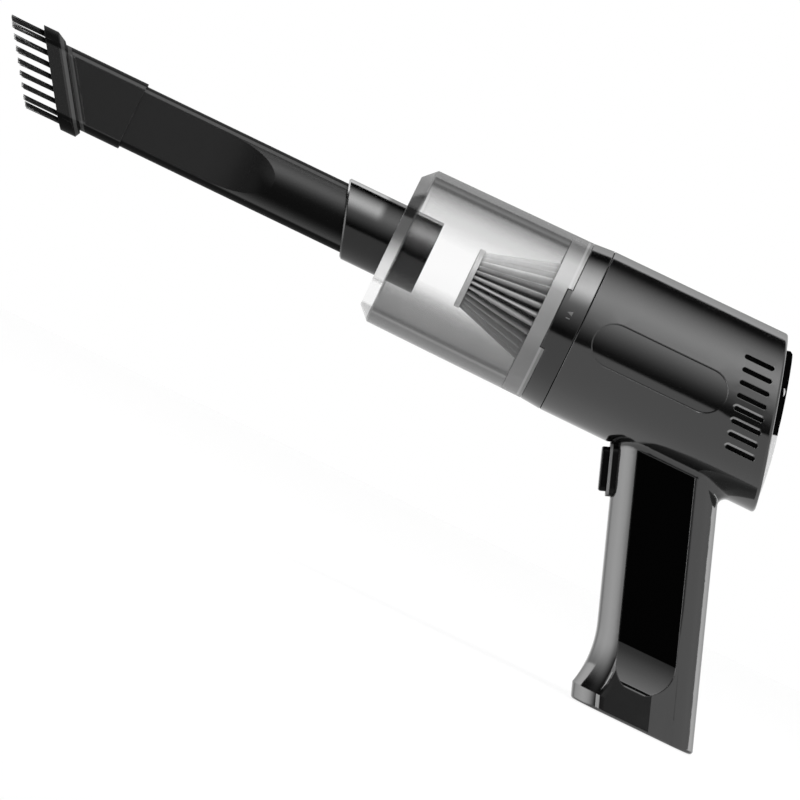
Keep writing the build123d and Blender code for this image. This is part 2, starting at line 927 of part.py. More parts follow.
with BuildPart() as screw_bosses:
    add(boss_cylinders(boss_radius, -grip_width / 2, grip_width / 2))
    add(barrel.part + grip.part, mode=Mode.INTERSECT)

switch_front = bezel_depth + skirt_thickness + button_travel + loose_fit
with BuildPart() as shell:
    add(barrel.part)
    add(grip.part)
    fillet(new_edges(barrel.part, grip.part, combined=shell.part), neck_fillet)
    add(
        ring(0, barrel_cavity_radius, front_face_x + housing_wall, rear_center_x + body_rear_radius),
        mode=Mode.SUBTRACT,
    )
    add(
        ring(0, neck_radius + slide_fit, front_face_x - overrun, front_face_x + housing_wall),
        mode=Mode.SUBTRACT,
    )
    add(grip_cavity.part, mode=Mode.SUBTRACT)
    with BuildSketch(button_plane(switch_front + switch_depth / 2)):
        Rectangle(grip_cavity_width + overrun, switch_rib_height)
        Rectangle(switch_size, switch_size, mode=Mode.SUBTRACT)
    extrude(amount=switch_depth / 4, both=True)
    add(screw_bosses.part)
    add(
        boss_cylinders(screw_radius, screw_seat_y - screw_length, screw_seat_y + overrun),
        mode=Mode.SUBTRACT,
    )
    add(
        boss_cylinders(screw_head_radius + slide_fit, screw_seat_y, body_rear_radius),
        mode=Mode.SUBTRACT,
    )
    add(button_opening.part, mode=Mode.SUBTRACT)
    for index in range(vent_count):
        vent_x = rear_center_x - vent_rear_inset + vent_length / 2 + index * vent_shift
        vent_z = axis_height + vent_top_z - index * vent_pitch
        with BuildSketch(Plane.XZ):
            with Locations((vent_x, vent_z)):
                SlotOverall(vent_length, vent_height)
        extrude(amount=body_rear_radius + overrun, both=True, mode=Mode.SUBTRACT)
    add(inlay_pocket.part, mode=Mode.SUBTRACT)
    add(scoop_cutter.part, mode=Mode.SUBTRACT)
    add(side_recess.part, mode=Mode.SUBTRACT)
    with BuildSketch(socket_plane(0)):
        RectangleRounded(socket_recess_width, socket_recess_height, socket_recess_round)
    extrude(amount=socket_recess_depth, mode=Mode.SUBTRACT)
    with BuildSketch(socket_plane(0)):
        SlotOverall(socket_width + 2 * slide_fit, socket_height + 2 * slide_fit)
    extrude(amount=base_wall + overrun, mode=Mode.SUBTRACT)
housing_left = split(shell.part, bisect_by=Plane.XZ, keep=Keep.TOP)
housing_left.label = "housing_left"
housing_right = split(shell.part, bisect_by=Plane.XZ, keep=Keep.BOTTOM)
housing_right.label = "housing_right"

with BuildPart() as housing_screws:
    add(boss_cylinders(screw_radius, screw_seat_y - screw_length, screw_seat_y))
    add(boss_cylinders(screw_head_radius, screw_seat_y, screw_seat_y + screw_head_height))
    with BuildSketch(Plane.XZ.offset(-screw_seat_y - screw_head_height)):
        with Locations(*boss_places):
            Rectangle(screw_slot_length, screw_slot_width)
            Rectangle(screw_slot_width, screw_slot_length)
    extrude(amount=screw_head_height / 2, mode=Mode.SUBTRACT)
housing_screws.part.label = "housing_screws"


def grip_inlay(side):
    """The smooth black panel set in one side of the handle, side -1 for left and 1 for right."""
    floor_y = grip_face_y - inlay_depth
    with BuildPart() as made:
        add(inlay_outline(inlay_gap, inlay_bottom_z))
        with BuildSketch(Plane.XZ.offset(-side * (floor_y + inlay_thickness / 2))):
            with Locations((0, axis_height / 2)):
                Rectangle(4 * grip_depth, axis_height)
        extrude(amount=inlay_thickness / 2, both=True, mode=Mode.INTERSECT)
    return made.part


grip_inlay_left = grip_inlay(-1)
grip_inlay_left.label = "grip_inlay_left"
grip_inlay_right = grip_inlay(1)
grip_inlay_right.label = "grip_inlay_right"

# Rear panel: a domed plate in the barrel's slanted end, with a flat seat and a port for the cap
dome_edge = barrel_cavity_radius - slide_fit
dome_radius = (dome_edge**2 + panel_bulge**2) / (2 * panel_bulge)
seat_radius = cap_radius + cap_side_gap
cap_seat_height = cap_proud - cap_thickness - cap_seat_gap
with BuildPart() as rear_panel:
    add(ring(0, dome_edge, front_face_x, rear_center_x + body_rear_radius))
    split(bisect_by=rear_plane(-panel_thickness), keep=Keep.TOP)
    with Locations(rear_plane(panel_bulge - dome_radius)):
        Sphere(dome_radius, mode=Mode.INTERSECT)
    with BuildSketch(rear_plane(cap_seat_height)):
        with Locations((0, port_offset)):
            Circle(seat_radius)
    extrude(amount=2 * panel_bulge, mode=Mode.SUBTRACT)
    with BuildSketch(rear_plane(-panel_thickness - port_length)):
        with Locations((0, port_offset)):
            Circle(port_radius + port_wall)
    extrude(amount=port_length + overrun)
    with BuildSketch(rear_plane(-panel_thickness)):
        with Locations((0, port_offset)):
            Circle(cap_radius)
    extrude(amount=panel_thickness + cap_seat_height)
    with BuildSketch(rear_plane(-panel_thickness - port_length)):
        with Locations((0, port_offset)):
            Circle(port_radius)
    extrude(amount=port_length + panel_thickness + panel_bulge, mode=Mode.SUBTRACT)
rear_panel.part.label = "rear_panel"

# Exhaust foam: a strip of open foam bent behind the vents, open at the top for the screw boss
foam_radius = barrel_cavity_radius - slide_fit
with BuildPart() as exhaust_foam:
    add(
        arc_block(
            foam_radius - foam_wall,
            foam_radius,
            rear_center_x - vent_rear_inset - foam_ahead,
            rear_center_x + body_rear_radius,
            foam_gap_angle,
            360 - 2 * foam_gap_angle,
        )
    )
    split(bisect_by=rear_plane(-panel_thickness - slide_fit), keep=Keep.BOTTOM)
exhaust_foam.part.label = "exhaust_foam"

# Exhaust cap: a round black cover whose hollow plug fits the rear port
with BuildPart() as exhaust_cap:
    with BuildSketch(rear_plane(cap_seat_height + cap_seat_gap)):
        with Locations((0, port_offset)):
            Circle(cap_radius)
    extrude(amount=cap_thickness)
    chamfer(exhaust_cap.faces().sort_by(Axis.X)[-1].edges(), cap_chamfer)
    with BuildSketch(rear_plane(cap_seat_height + cap_seat_gap)):
        with Locations((0, port_offset)):
            Circle(port_radius - slide_fit)
            Circle(port_radius - slide_fit - cap_plug_wall, mode=Mode.SUBTRACT)
    extrude(amount=-cap_plug_length)
exhaust_cap.part.label = "exhaust_cap"

# Fan: a disc with backward-curved blades in a shroud with a round eye
shroud_front_x = ring_rear_x
fan_front_x = shroud_front_x + shroud_wall + shroud_gap
fan_rear_x = fan_front_x + fan_depth
mount_front_x = fan_rear_x + shroud_gap
mount_rear_x = mount_front_x + mount_plate
motor_rear_x = rear_center_x - motor_rear_inset
shaft_rear_x = motor_rear_x + shaft_tail
with BuildPart() as impeller:
    with BuildSketch(x_plane(fan_rear_x - fan_disc)):
        Circle(fan_radius)
    extrude(amount=fan_disc)
    with BuildSketch(x_plane(fan_front_x)):
        Circle(fan_hub_radius)
    extrude(amount=fan_depth)
    with BuildSketch(x_plane(fan_front_x)):
        with PolarLocations(0, fan_blade_count):
            with BuildLine():
                ThreePointArc(
                    (fan_hub_radius - fan_blade_root, 0),
                    (fan_radius / 2, fan_blade_bow),
                    (fan_radius * fan_tip_ratio, 0),
                )
            trace(line_width=fan_blade_thickness)
    extrude(amount=fan_depth - fan_disc)
    with BuildSketch(x_plane(fan_front_x)):
        Circle(shaft_radius)
    extrude(amount=fan_depth, mode=Mode.SUBTRACT)
impeller.part.label = "impeller"

with BuildPart() as motor_shaft:
    with BuildSketch(x_plane(fan_front_x)):
        Circle(shaft_radius)
    extrude(amount=shaft_rear_x - fan_front_x)
    chamfer(motor_shaft.faces().filter_by(Axis.X).edges(), shaft_radius / 5)
motor_shaft.part.label = "motor_shaft"

shroud_radius = barrel_cavity_radius - slide_fit
with BuildPart() as fan_shroud:
    add(ring(fan_eye_radius, shroud_radius, shroud_front_x, shroud_front_x + shroud_wall))
    add(ring(shroud_radius - shroud_wall, shroud_radius, shroud_front_x, mount_front_x))
fan_shroud.part.label = "fan_shroud"

slot_inner = motor_radius + mount_slot_inset
slot_outer = shroud_radius - shroud_wall
with BuildPart() as motor_mount:
    add(ring(motor_boss_radius, shroud_radius, mount_front_x, mount_rear_x))
    add(
        ring(motor_radius, motor_radius + mount_collar_wall, mount_rear_x, mount_rear_x + mount_plate)
    )
    for index in range(mount_slot_count):
        add(
            arc_block(
                slot_inner,
                slot_outer,
                mount_front_x - overrun,
                mount_rear_x + overrun,
                index * 360 / mount_slot_count,
                mount_slot_arc,
            ),
            mode=Mode.SUBTRACT,
        )
motor_mount.part.label = "motor_mount"

# Motor: a can with a front boss in the mount, a rear bell and two terminals that carry the board
board_front_x = motor_rear_x + board_gap
with BuildPart() as motor:
    add(ring(shaft_radius + shaft_fit, motor_radius, mount_rear_x, motor_rear_x))
    fillet(motor.faces().sort_by(Axis.X)[-1].outer_wire().edges(), motor_round)
    add(ring(shaft_radius + shaft_fit, motor_boss_radius, mount_front_x, mount_rear_x))
    add(ring(shaft_radius + shaft_fit, motor_boss_radius, motor_rear_x, motor_rear_x + motor_bell))
    with BuildSketch(x_plane(motor_rear_x)):
        with Locations((-terminal_spread, 0), (terminal_spread, 0)):
            Rectangle(terminal_thickness, terminal_width)
    extrude(amount=board_gap + board_thickness + terminal_reach)
motor.part.label = "motor"

with BuildPart() as control_board:
    with BuildSketch(x_plane(board_front_x)):
        Rectangle(board_width, board_height)
        with Locations((-terminal_spread, 0), (terminal_spread, 0)):
            Rectangle(terminal_thickness, terminal_width, mode=Mode.SUBTRACT)
    extrude(amount=board_thickness)
    with BuildSketch(x_plane(board_front_x + board_thickness)):
        with Locations((0, -board_height / 4)):
            Circle(capacitor_radius)
        with Locations((0, board_height / 4)):
            Rectangle(chip_length, chip_width)
    extrude(amount=chip_height)
control_board.part.label = "control_board"

# Battery: two cells side by side along the grip between two end plates
cell_radius = (cavity_depth - 2 * cell_side_gap - cell_gap) / 4
cell_pitch = 2 * cell_radius + cell_gap
cell_length = button_top_z / cos(radians(rake)) - cell_bottom - cell_head_room
cell_spots = ((-cell_pitch / 2, 0), (cell_pitch / 2, 0))
with BuildPart() as battery_cells:
    with BuildSketch(grip_cross_plane(cell_bottom)):
        with Locations(*cell_spots):
            Circle(cell_radius)
    extrude(amount=cell_length)
    with BuildSketch(grip_cross_plane(cell_bottom + cell_length)):
        with Locations(*cell_spots):
            Circle(cell_tip_radius)
    extrude(amount=cell_tip_height)
battery_cells.part.label = "battery_cells"

with BuildPart() as battery_holder:
    for base in (cell_bottom - holder_thickness, cell_bottom + cell_length):
        with BuildSketch(grip_cross_plane(base)):
            RectangleRounded(
                cavity_depth - 2 * slide_fit, 2 * cell_radius + holder_thickness, cavity_round
            )
        extrude(amount=holder_thickness)
    with BuildSketch(grip_cross_plane(cell_bottom + cell_length)):
        with Locations(*cell_spots):
            Circle(cell_tip_radius + slide_fit)
    extrude(amount=holder_thickness, mode=Mode.SUBTRACT)
battery_holder.part.label = "battery_holder"

# Charging inlet: a metal socket with its tongue, on a small board above the base
with BuildPart() as charge_socket:
    with BuildSketch(socket_plane(socket_recess_depth)):
        SlotOverall(socket_width, socket_height)
        SlotOverall(
            socket_width - 2 * socket_wall, socket_height - 2 * socket_wall, mode=Mode.SUBTRACT
        )
    extrude(amount=socket_depth)
    with BuildSketch(socket_plane(socket_recess_depth + socket_depth - socket_floor)):
        SlotOverall(socket_width, socket_height)
    extrude(amount=socket_floor)
    with BuildSketch(socket_plane(socket_recess_depth + socket_floor)):
        Rectangle(socket_width - socket_height, socket_tongue)
    extrude(amount=socket_depth - socket_floor)
charge_socket.part.label = "charge_socket"

with BuildPart() as charge_board:
    with BuildSketch(socket_plane(socket_recess_depth + socket_depth)):
        Rectangle(charge_board_length, charge_board_width)
    extrude(amount=board_thickness)
charge_board.part.label = "charge_board"

# Power button with its skirt and stem, the bezel that holds it and the switch it presses
with BuildPart() as switch_bezel:
    with BuildSketch(button_plane(bezel_depth)):
        RectangleRounded(bezel_outer_width, bezel_outer_length, button_round + bezel_width)
        RectangleRounded(
            button_width + 2 * bezel_gap, button_length + 2 * bezel_gap, button_round, mode=Mode.SUBTRACT
        )
    extrude(amount=bezel_depth + bezel_height)
switch_bezel.part.label = "switch_bezel"

skirt_depth = bezel_depth + loose_fit
with BuildPart() as power_button:
    with BuildSketch(button_plane(skirt_depth)):
        RectangleRounded(button_width, button_length, button_round - bezel_gap)
    extrude(amount=skirt_depth + bezel_height + button_height)
    fillet(power_button.faces().sort_by(Axis.X)[0].edges(), button_face_round)
    with BuildSketch(button_plane(skirt_depth + skirt_thickness)):
        RectangleRounded(button_width + bezel_width, button_length + bezel_width, button_round)
    extrude(amount=skirt_thickness)
    with BuildSketch(button_plane(skirt_depth + skirt_thickness)):
        Circle(button_stem / 2)
    extrude(amount=-(button_travel + switch_depth / 2))
power_button.part.label = "power_button"

switch_face = skirt_depth + skirt_thickness + button_travel + loose_fit
with BuildPart() as switch_body:
    with BuildSketch(button_plane(switch_face + switch_depth)):
        Rectangle(switch_size, switch_size)
    extrude(amount=switch_depth)
    with BuildSketch(button_plane(switch_face)):
        Circle(button_stem / 2 + slide_fit)
    extrude(amount=-(switch_depth - switch_floor), mode=Mode.SUBTRACT)
switch_body.part.label = "switch_body"

pieces = (
    dust_cup.part,
    inlet_tube.part,
    inlet_seal,
    crevice_nozzle.part,
    brush_head.part,
    brush_bristles.part,
    filter_cap.part,
    filter_media.part,
    filter_base.part,
    filter_gasket,
    bayonet_ring.part,
    lock_collar.part,
    collar_washer,
    housing_left,
    housing_right,
    housing_screws.part,
    grip_inlay_left,
    grip_inlay_right,
    rear_panel.part,
    exhaust_foam.part,
    exhaust_cap.part,
    impeller.part,
    motor_shaft.part,
    fan_shroud.part,
    motor_mount.part,
    motor.part,
    control_board.part,
    battery_cells.part,
    battery_holder.part,
    charge_socket.part,
    charge_board.part,
    switch_bezel.part,
    power_button.part,
    switch_body.part,
)
os.makedirs("parts", exist_ok=True)
for piece in pieces:
    export_step(piece, f"parts/{piece.label}.step")
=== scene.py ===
from math import cos, pi, radians, sin, sqrt, tan

import bmesh
import bpy
from mathutils import Matrix, Vector


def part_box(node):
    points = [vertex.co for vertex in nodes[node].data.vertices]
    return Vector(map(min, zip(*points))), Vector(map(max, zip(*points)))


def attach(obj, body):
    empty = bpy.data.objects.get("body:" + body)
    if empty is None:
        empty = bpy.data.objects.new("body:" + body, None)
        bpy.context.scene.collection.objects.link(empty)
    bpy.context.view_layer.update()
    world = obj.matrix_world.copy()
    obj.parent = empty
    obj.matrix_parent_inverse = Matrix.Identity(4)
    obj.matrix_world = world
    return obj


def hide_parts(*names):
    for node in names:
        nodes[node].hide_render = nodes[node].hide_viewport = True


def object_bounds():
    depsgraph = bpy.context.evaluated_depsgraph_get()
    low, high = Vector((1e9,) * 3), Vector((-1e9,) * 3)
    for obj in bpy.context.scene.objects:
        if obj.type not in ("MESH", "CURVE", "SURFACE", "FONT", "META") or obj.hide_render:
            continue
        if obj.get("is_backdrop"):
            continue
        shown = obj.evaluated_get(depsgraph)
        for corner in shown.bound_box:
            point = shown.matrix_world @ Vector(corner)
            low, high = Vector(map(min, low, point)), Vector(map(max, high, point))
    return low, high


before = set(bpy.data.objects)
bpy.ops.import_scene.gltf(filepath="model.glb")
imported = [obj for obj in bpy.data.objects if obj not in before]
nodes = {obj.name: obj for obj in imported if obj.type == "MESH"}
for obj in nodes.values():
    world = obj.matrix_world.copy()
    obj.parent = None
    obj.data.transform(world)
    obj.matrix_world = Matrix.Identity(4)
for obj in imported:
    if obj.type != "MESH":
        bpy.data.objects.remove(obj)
cad_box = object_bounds()


# Housing halves: barrel and handle in one, moulded in glossy graphite ABS and joined down the middle.
# The mould was polished, so the skin is nearly flat, with faint ripples, wiping marks and soft edges.
# A crease runs down the handle's foot, and the lower four vents have a painted highlight on their upper
# lip.
class Socket:
    """One output in a node tree, which takes part in Python sums."""

    def __init__(self, tree, output=None):
        self.tree = tree
        self.output = output

    def node(self, kind, settings=None, sockets=None, output=0):
        """A new node: its settings first, then the value or link of each socket. Gives one output."""
        made = self.tree.nodes.new("ShaderNode" + kind)
        for name, setting in (settings or {}).items():
            if name == "stops":
                elements = made.color_ramp.elements
                elements.remove(elements[1])
                elements[0].position, elements[0].color = setting[0]
                for position, colour in setting[1:]:
                    elements.new(position).color = colour
            else:
                setattr(made, name, setting)
        for key, value in (sockets or {}).items():
            if isinstance(value, Socket):
                self.tree.links.new(value.output, made.inputs[key])
            else:
                made.inputs[key].default_value = value
        return Socket(self.tree, made.outputs[output])

    def calculate(self, operation, *values):
        """A Math node's result from up to three values."""
        return self.node("Math", {"operation": operation}, dict(enumerate(values)))

    def __add__(self, other):
        return self.calculate("ADD", self, other)

    def __sub__(self, other):
        return self.calculate("SUBTRACT", self, other)

    def __rsub__(self, other):
        return self.calculate("SUBTRACT", other, self)

    def __mul__(self, other):
        return self.calculate("MULTIPLY", self, other)

    def __truediv__(self, other):
        return self.calculate("DIVIDE", self, other)

    def __rtruediv__(self, other):
        return self.calculate("DIVIDE", other, self)

    def __pow__(self, other):
        return self.calculate("POWER", self, other)

    def __neg__(self):
        return self.calculate("MULTIPLY", self, -1.0)

    def __abs__(self):
        return self.calculate("ABSOLUTE", self)

    def __round__(self):
        return self.calculate("ROUND", self)

    def max(self, other):
        return self.calculate("MAXIMUM", self, other)

    __radd__ = __add__
    __rmul__ = __mul__


def rise(value, start, end):
    """0 up to start, 1 from end on, and a smooth rise between them."""
    limits = {"Value": value, "From Min": start, "From Max": end}
    return value.node("MapRange", {"interpolation_type": "SMOOTHSTEP"}, limits)


def between(value, start, full, fade, end):
    """A smooth rise from start to full, and a smooth fall from fade to end."""
    return rise(value, start, full) * (1 - rise(value, fade, end))


def axes(place):
    """The X, Y and Z of a vector."""
    split = place.node("SeparateXYZ", None, {0: place}).output.node
    return [Socket(place.tree, output) for output in split.outputs]


def reach(place, direction):
    """How far a place, or a normal, reaches along a direction."""
    return place.node("VectorMath", {"operation": "DOT_PRODUCT"}, {0: place, 1: direction}, "Value")


def grey(level):
    """An even grey, from black at 0 to white at 1."""
    return (level, level, level, 1.0)


def tint(mask, first, second):
    """The first colour where the mask is 0 and the second where it is 1."""
    return mask.node("Mix", {"data_type": "RGBA"}, {0: mask, 6: first, 7: second}, 2)


def noise(place, scale, detail=3.0, roughness=0.5):
    """Cloudy unevenness around 0.5, finer with a larger scale."""
    sockets = {"Vector": place, "Scale": scale, "Detail": detail, "Roughness": roughness}
    return place.node("TexNoise", None, sockets)


def bump(height, depth, normal=None):
    """The normal of a skin whose height, from 0 to 1, is depth metres."""
    sockets = {"Height": height, "Distance": depth}
    if normal:
        sockets["Normal"] = normal
    return height.node("Bump", None, sockets)


def finish(name, **constants):
    """A new material, its shader and the place on the object in metres."""
    made = bpy.data.materials.new(name)
    made.use_nodes = True
    shader = made.node_tree.nodes["Principled BSDF"]
    for key, value in constants.items():
        shader.inputs[key.replace("_", " ")].default_value = value
    place = Socket(made.node_tree).node("TexCoord", output="Object")
    return made, shader, place


def feed(shader, **sockets):
    """Links what changes over the surface to the shader."""
    for key, value in sockets.items():
        value.tree.links.new(value.output, shader.inputs[key.replace("_", " ")])


def fed(shader, name):
    """What feeds a shader's socket so far."""
    return Socket(shader.id_data, shader.inputs[name].links[0].from_socket)


def soft_edge(place, edge_round):
    """The normal with every edge rounded, and a mask that is 1 along the edges."""
    soft = place.node("Bevel", {"samples": 6}, {"Radius": edge_round})
    flat = place.node("NewGeometry", output="Normal")
    return soft, 1 - rise(reach(soft, flat), 0.72, 0.995)


def moulded(name, colour, gloss, grain_depth, edge_round=0.0004, edge_lift=0.2, **constants):
    """Moulded plastic with wiping marks in its gloss, a fine grain and rounded edges, paler from wear and
    from a painted highlight.
    """
    made, shader, place = finish(name, **constants)
    soft, edge = soft_edge(place, edge_round)
    wipe = noise(place, scale=42.0, detail=5.0, roughness=0.62)
    grain = noise(place, scale=2300.0, detail=2.0)
    ripple = noise(place, scale=55.0, detail=1.0)
    ripple_depth = 0.00008
    # The paler edges are partly wear and partly a painted highlight.
    edge_wear_and_highlight = edge * rise(noise(place, scale=210.0), 0.30, 0.62)
    body = tint(wipe, grey(colour * 0.82), grey(colour * 1.22))
    edge_wear_and_highlight_grey = grey(min(1.0, colour * 3.2 + 0.08))
    feed(
        shader,
        Base_Color=tint(edge_wear_and_highlight * edge_lift, body, edge_wear_and_highlight_grey),
        Roughness=rise(wipe, 0.46, 0.72) * 0.05 + (grain - 0.5) * 0.06 + edge_wear_and_highlight * 0.08 + gloss,
        Normal=bump(grain, grain_depth, bump(ripple, ripple_depth, soft)),
    )
    return made, shader, place


def dress(material, *names):
    """Gives CAD nodes their finish."""
    for name in names:
        for held in nodes[name].material_slots:
            held.material = material


axis_z = 0.1297
grip_turn = radians(20.0)
grip_up = (-sin(grip_turn), 0.0, cos(grip_turn))
grip_rear = (cos(grip_turn), 0.0, sin(grip_turn))

crease_start = 0.0064
crease_end = 0.0156
crease_depth = 0.0009
crease_full_up = 0.030
crease_top_up = 0.050
crease_side_y = 0.0162
crease_blend = 0.0002


def foot_crease(place):
    """The height of the foot's outer side: 1 in front, and sloping down to 0 at the crease."""
    limits = {"Value": reach(place, grip_rear), "From Min": crease_start, "From Max": crease_end}
    slope = place.node("MapRange", None, limits)
    low = 1 - rise(reach(place, grip_up), crease_full_up, crease_top_up)
    side = rise(abs(axes(place)[1]), crease_side_y - crease_blend, crease_side_y + crease_blend)
    return (1 - slope) * low * side


vent_pitch = 0.00495
vent_shift = 0.00117
vent_top_x = -0.01715
vent_top_z = axis_z + 0.0188
vent_reach = 0.00535
lip_rows = (3.5, 3.6, 7.4, 7.5)
lip_ring = (0.00080, 0.00095, 0.00150, 0.00185)
lip_over = (-0.0002, 0.0006)
lip_rear = (0.0046, 0.0058)
# The lips' pale grey is a painted highlight, where the lips would catch the light.
lip_highlight_grey = grey(0.22)


def vent_lip_highlight(place):
    """Where the painted highlight on the upper lips lies: a ring round each lower slot, kept to the side
    above the slot.
    """
    along, _, height = axes(place)
    row = (vent_top_z - height) / vent_pitch
    nearest = round(row)
    over = (nearest - row) * vent_pitch
    from_middle = along - vent_top_x - nearest * vent_shift
    past_end = abs(from_middle) - vent_reach
    past_end = past_end * rise(past_end, 0.0, 0.00001)
    away = (past_end**2 + over**2) ** 0.5
    ring = between(away, *lip_ring) * rise(over, *lip_over) * (1 - rise(from_middle, *lip_rear))
    return ring * between(nearest, *lip_rows)


graphite, shell_shader, shell_place = moulded(
    "graphite_abs", colour=0.0045, gloss=0.09, grain_depth=0.0000012, edge_round=0.00045, edge_lift=0.1
)
feed(
    shell_shader,
    Base_Color=tint(vent_lip_highlight(shell_place), fed(shell_shader, "Base Color"), lip_highlight_grey),
    Normal=bump(foot_crease(shell_place), crease_depth, fed(shell_shader, "Normal")),
)
dress(graphite, "housing_left", "housing_right")


# Housing screws: four zinc-plated cross-head screws, turned down into wells in the right half.
# The plating has a lathe's fine rings, dull patches and smooth edges.
def metal(name, colour, gloss, ring_scale, ring_depth):
    """Plated or ground metal with fine machining lines and dull patches."""
    made, shader, place = finish(name, Metallic=1.0)
    soft, edge = soft_edge(place, edge_round=0.00015)
    patch = noise(place, scale=160.0, detail=4.0, roughness=0.6)
    lines = noise(place, scale=ring_scale, detail=1.0)
    feed(
        shader,
        Base_Color=tint(rise(patch, 0.35, 0.7), grey(colour * 0.8), grey(colour)),
        Roughness=patch * 0.14 + edge * -0.06 + gloss,
        Normal=bump(lines, ring_depth, soft),
    )
    return made


dress(
    metal("zinc_plate", colour=0.52, gloss=0.26, ring_scale=3200.0, ring_depth=0.000006),
    "housing_screws",
)


# Grip inlays: flush panels in deep black acrylic, glued into a pocket in each side of the handle.
# They're the smoothest part, with only hairline scratches from the hand, and a painted highlight along
# their edges.
def piano_black(name, colour, gloss):
    """Polished black with sparse hairline scratches, and edges painted a little paler as a highlight."""
    made, shader, place = finish(name, Specular_IOR_Level=0.02)
    soft, edge = soft_edge(place, edge_round=0.0003)
    stretched = place.node("Mapping", None, {"Vector": place, "Scale": (1.0, 1.0, 14.0)})
    lines = rise(noise(stretched, scale=620.0, detail=1.0), 0.70, 0.74)
    wipe = noise(place, scale=30.0, detail=4.0, roughness=0.6)
    scratch_depth = 0.000002
    # The edges' paler grey is a painted highlight.
    feed(
        shader,
        Base_Color=tint(edge * 0.2 + lines * 0.02, grey(colour), grey(0.05)),
        Roughness=lines * 0.10 + rise(wipe, 0.5, 0.8) * 0.04 + gloss,
        Normal=bump(lines, -scratch_depth, soft),
    )
    return made


dress(piano_black("acrylic_black", colour=0.0004, gloss=0.05), "grip_inlay_left", "grip_inlay_right")


# Battery: two cells in a blue sleeve with bare nickel tips, between two black end plates.
# The sleeve is shrunk on, so it is faintly rippled, and it ends just over each cell's rim.
sleeve_foot = 0.0207
sleeve_length = 0.0650
sleeve_end = sleeve_foot + sleeve_length
sleeve_blend = 0.0001
sleeve_blue = (0.03, 0.15, 0.34, 1.0)
sleeve_pale_blue = (0.05, 0.21, 0.44, 1.0)
sleeve_ripple_depth = 0.00006
nickel_tip = grey(0.55)

cell_made, cell_shader, cell_place = finish("cell_sleeve")
cell_bare = rise(reach(cell_place, grip_up), sleeve_end, sleeve_end + sleeve_blend)
cell_ripple = noise(cell_place, scale=300.0)
feed(
    cell_shader,
    Base_Color=tint(cell_bare, tint(cell_ripple, sleeve_blue, sleeve_pale_blue), nickel_tip),
    Metallic=cell_bare,
    Roughness=cell_ripple * 0.15 + 0.22,
    Normal=bump(cell_ripple, sleeve_ripple_depth),
)
dress(cell_made, "battery_cells")

frame_plastic = moulded("frame_plastic", colour=0.030, gloss=0.42, grain_depth=0.000020)[0]
dress(frame_plastic, "battery_holder")


# Charging inlet: a nickel-plated socket soldered to a small green board, above a slot in the base.
# Boards are glass-epoxy under solder mask, with paler tracks and black packages on them.
dress(
    metal("nickel_plate", colour=0.62, gloss=0.20, ring_scale=2600.0, ring_depth=0.000003),
    "charge_socket",
)

board_green = (0.012, 0.105, 0.04, 1.0)
track_green = (0.05, 0.24, 0.10, 1.0)
package_black = grey(0.02)
package_x = (-0.02538, -0.02534, -0.0180, -0.0179)
track_depth = 0.00003

board_made, board_shader, board_place = finish("solder_mask")
board_tracks = board_place.node(
    "TexBrick",
    {"offset": 0.37, "squash": 0.7},
    {"Vector": board_place, "Scale": 420.0, "Mortar Size": 0.05, "Color1": grey(0), "Color2": grey(0)},
    1,
)
board_package = between(axes(board_place)[0], *package_x)
board_weave = noise(board_place, scale=1500.0, detail=2.0)
feed(
    board_shader,
    Base_Color=tint(board_package, tint(board_tracks * 0.7, board_green, track_green), package_black),
    Roughness=board_weave * 0.2 + 0.28,
    Normal=bump(board_tracks, track_depth),
)
dress(board_made, "control_board", "charge_board")


# Power switch: a black push button in a black bezel, over a microswitch inside the handle. The
# button's face is spark-eroded for grip, and its rim carries a painted highlight. The bezel's front
# edge has a painted highlight at each side, where it would catch the light.
# The button's paler rim, from its strong edge_lift, is a painted highlight.
button_black = moulded(
    "button_black",
    colour=0.001,
    gloss=0.22,
    grain_depth=0.000014,
    edge_round=0.0010,
    edge_lift=1.0,
    Specular_IOR_Level=0.05,
)[0]
dress(button_black, "power_button")

bezel_front_reach = (-0.0180, -0.0176)
# The bezel's pale lips are a painted highlight.
bezel_highlight_grey = grey(0.24)
bezel_made, bezel_shader, bezel_place = moulded(
    "bezel_black",
    colour=0.001,
    gloss=0.22,
    grain_depth=0.000006,
    edge_round=0.0010,
    edge_lift=0.5,
    Specular_IOR_Level=0.08,
)
bezel_normal = bezel_place.node("NewGeometry", output="Normal")
bezel_side = rise(abs(axes(bezel_normal)[1]), 0.4, 0.7)
bezel_front = 1 - rise(reach(bezel_place, grip_rear), *bezel_front_reach)
feed(
    bezel_shader,
    Base_Color=tint(bezel_side * bezel_front, fed(bezel_shader, "Base Color"), bezel_highlight_grey),
)
dress(bezel_made, "switch_bezel")

dress(moulded("switch_case", colour=0.012, gloss=0.35, grain_depth=0.000012)[0], "switch_body")


# Fan and motor: a plated motor can in a black mount turns a moulded fan under its shroud.
# The can has the fine lines of its drawing die, and the shaft is ground.
motor_plate = metal("motor_plate", colour=0.50, gloss=0.30, ring_scale=1800.0, ring_depth=0.000010)
dress(motor_plate, "motor")
ground_steel = metal("ground_steel", colour=0.58, gloss=0.16, ring_scale=5200.0, ring_depth=0.000003)
dress(ground_steel, "motor_shaft")
dress(moulded("fan_nylon", colour=0.045, gloss=0.36, grain_depth=0.000016)[0], "impeller")
dress(frame_plastic, "fan_shroud", "motor_mount")


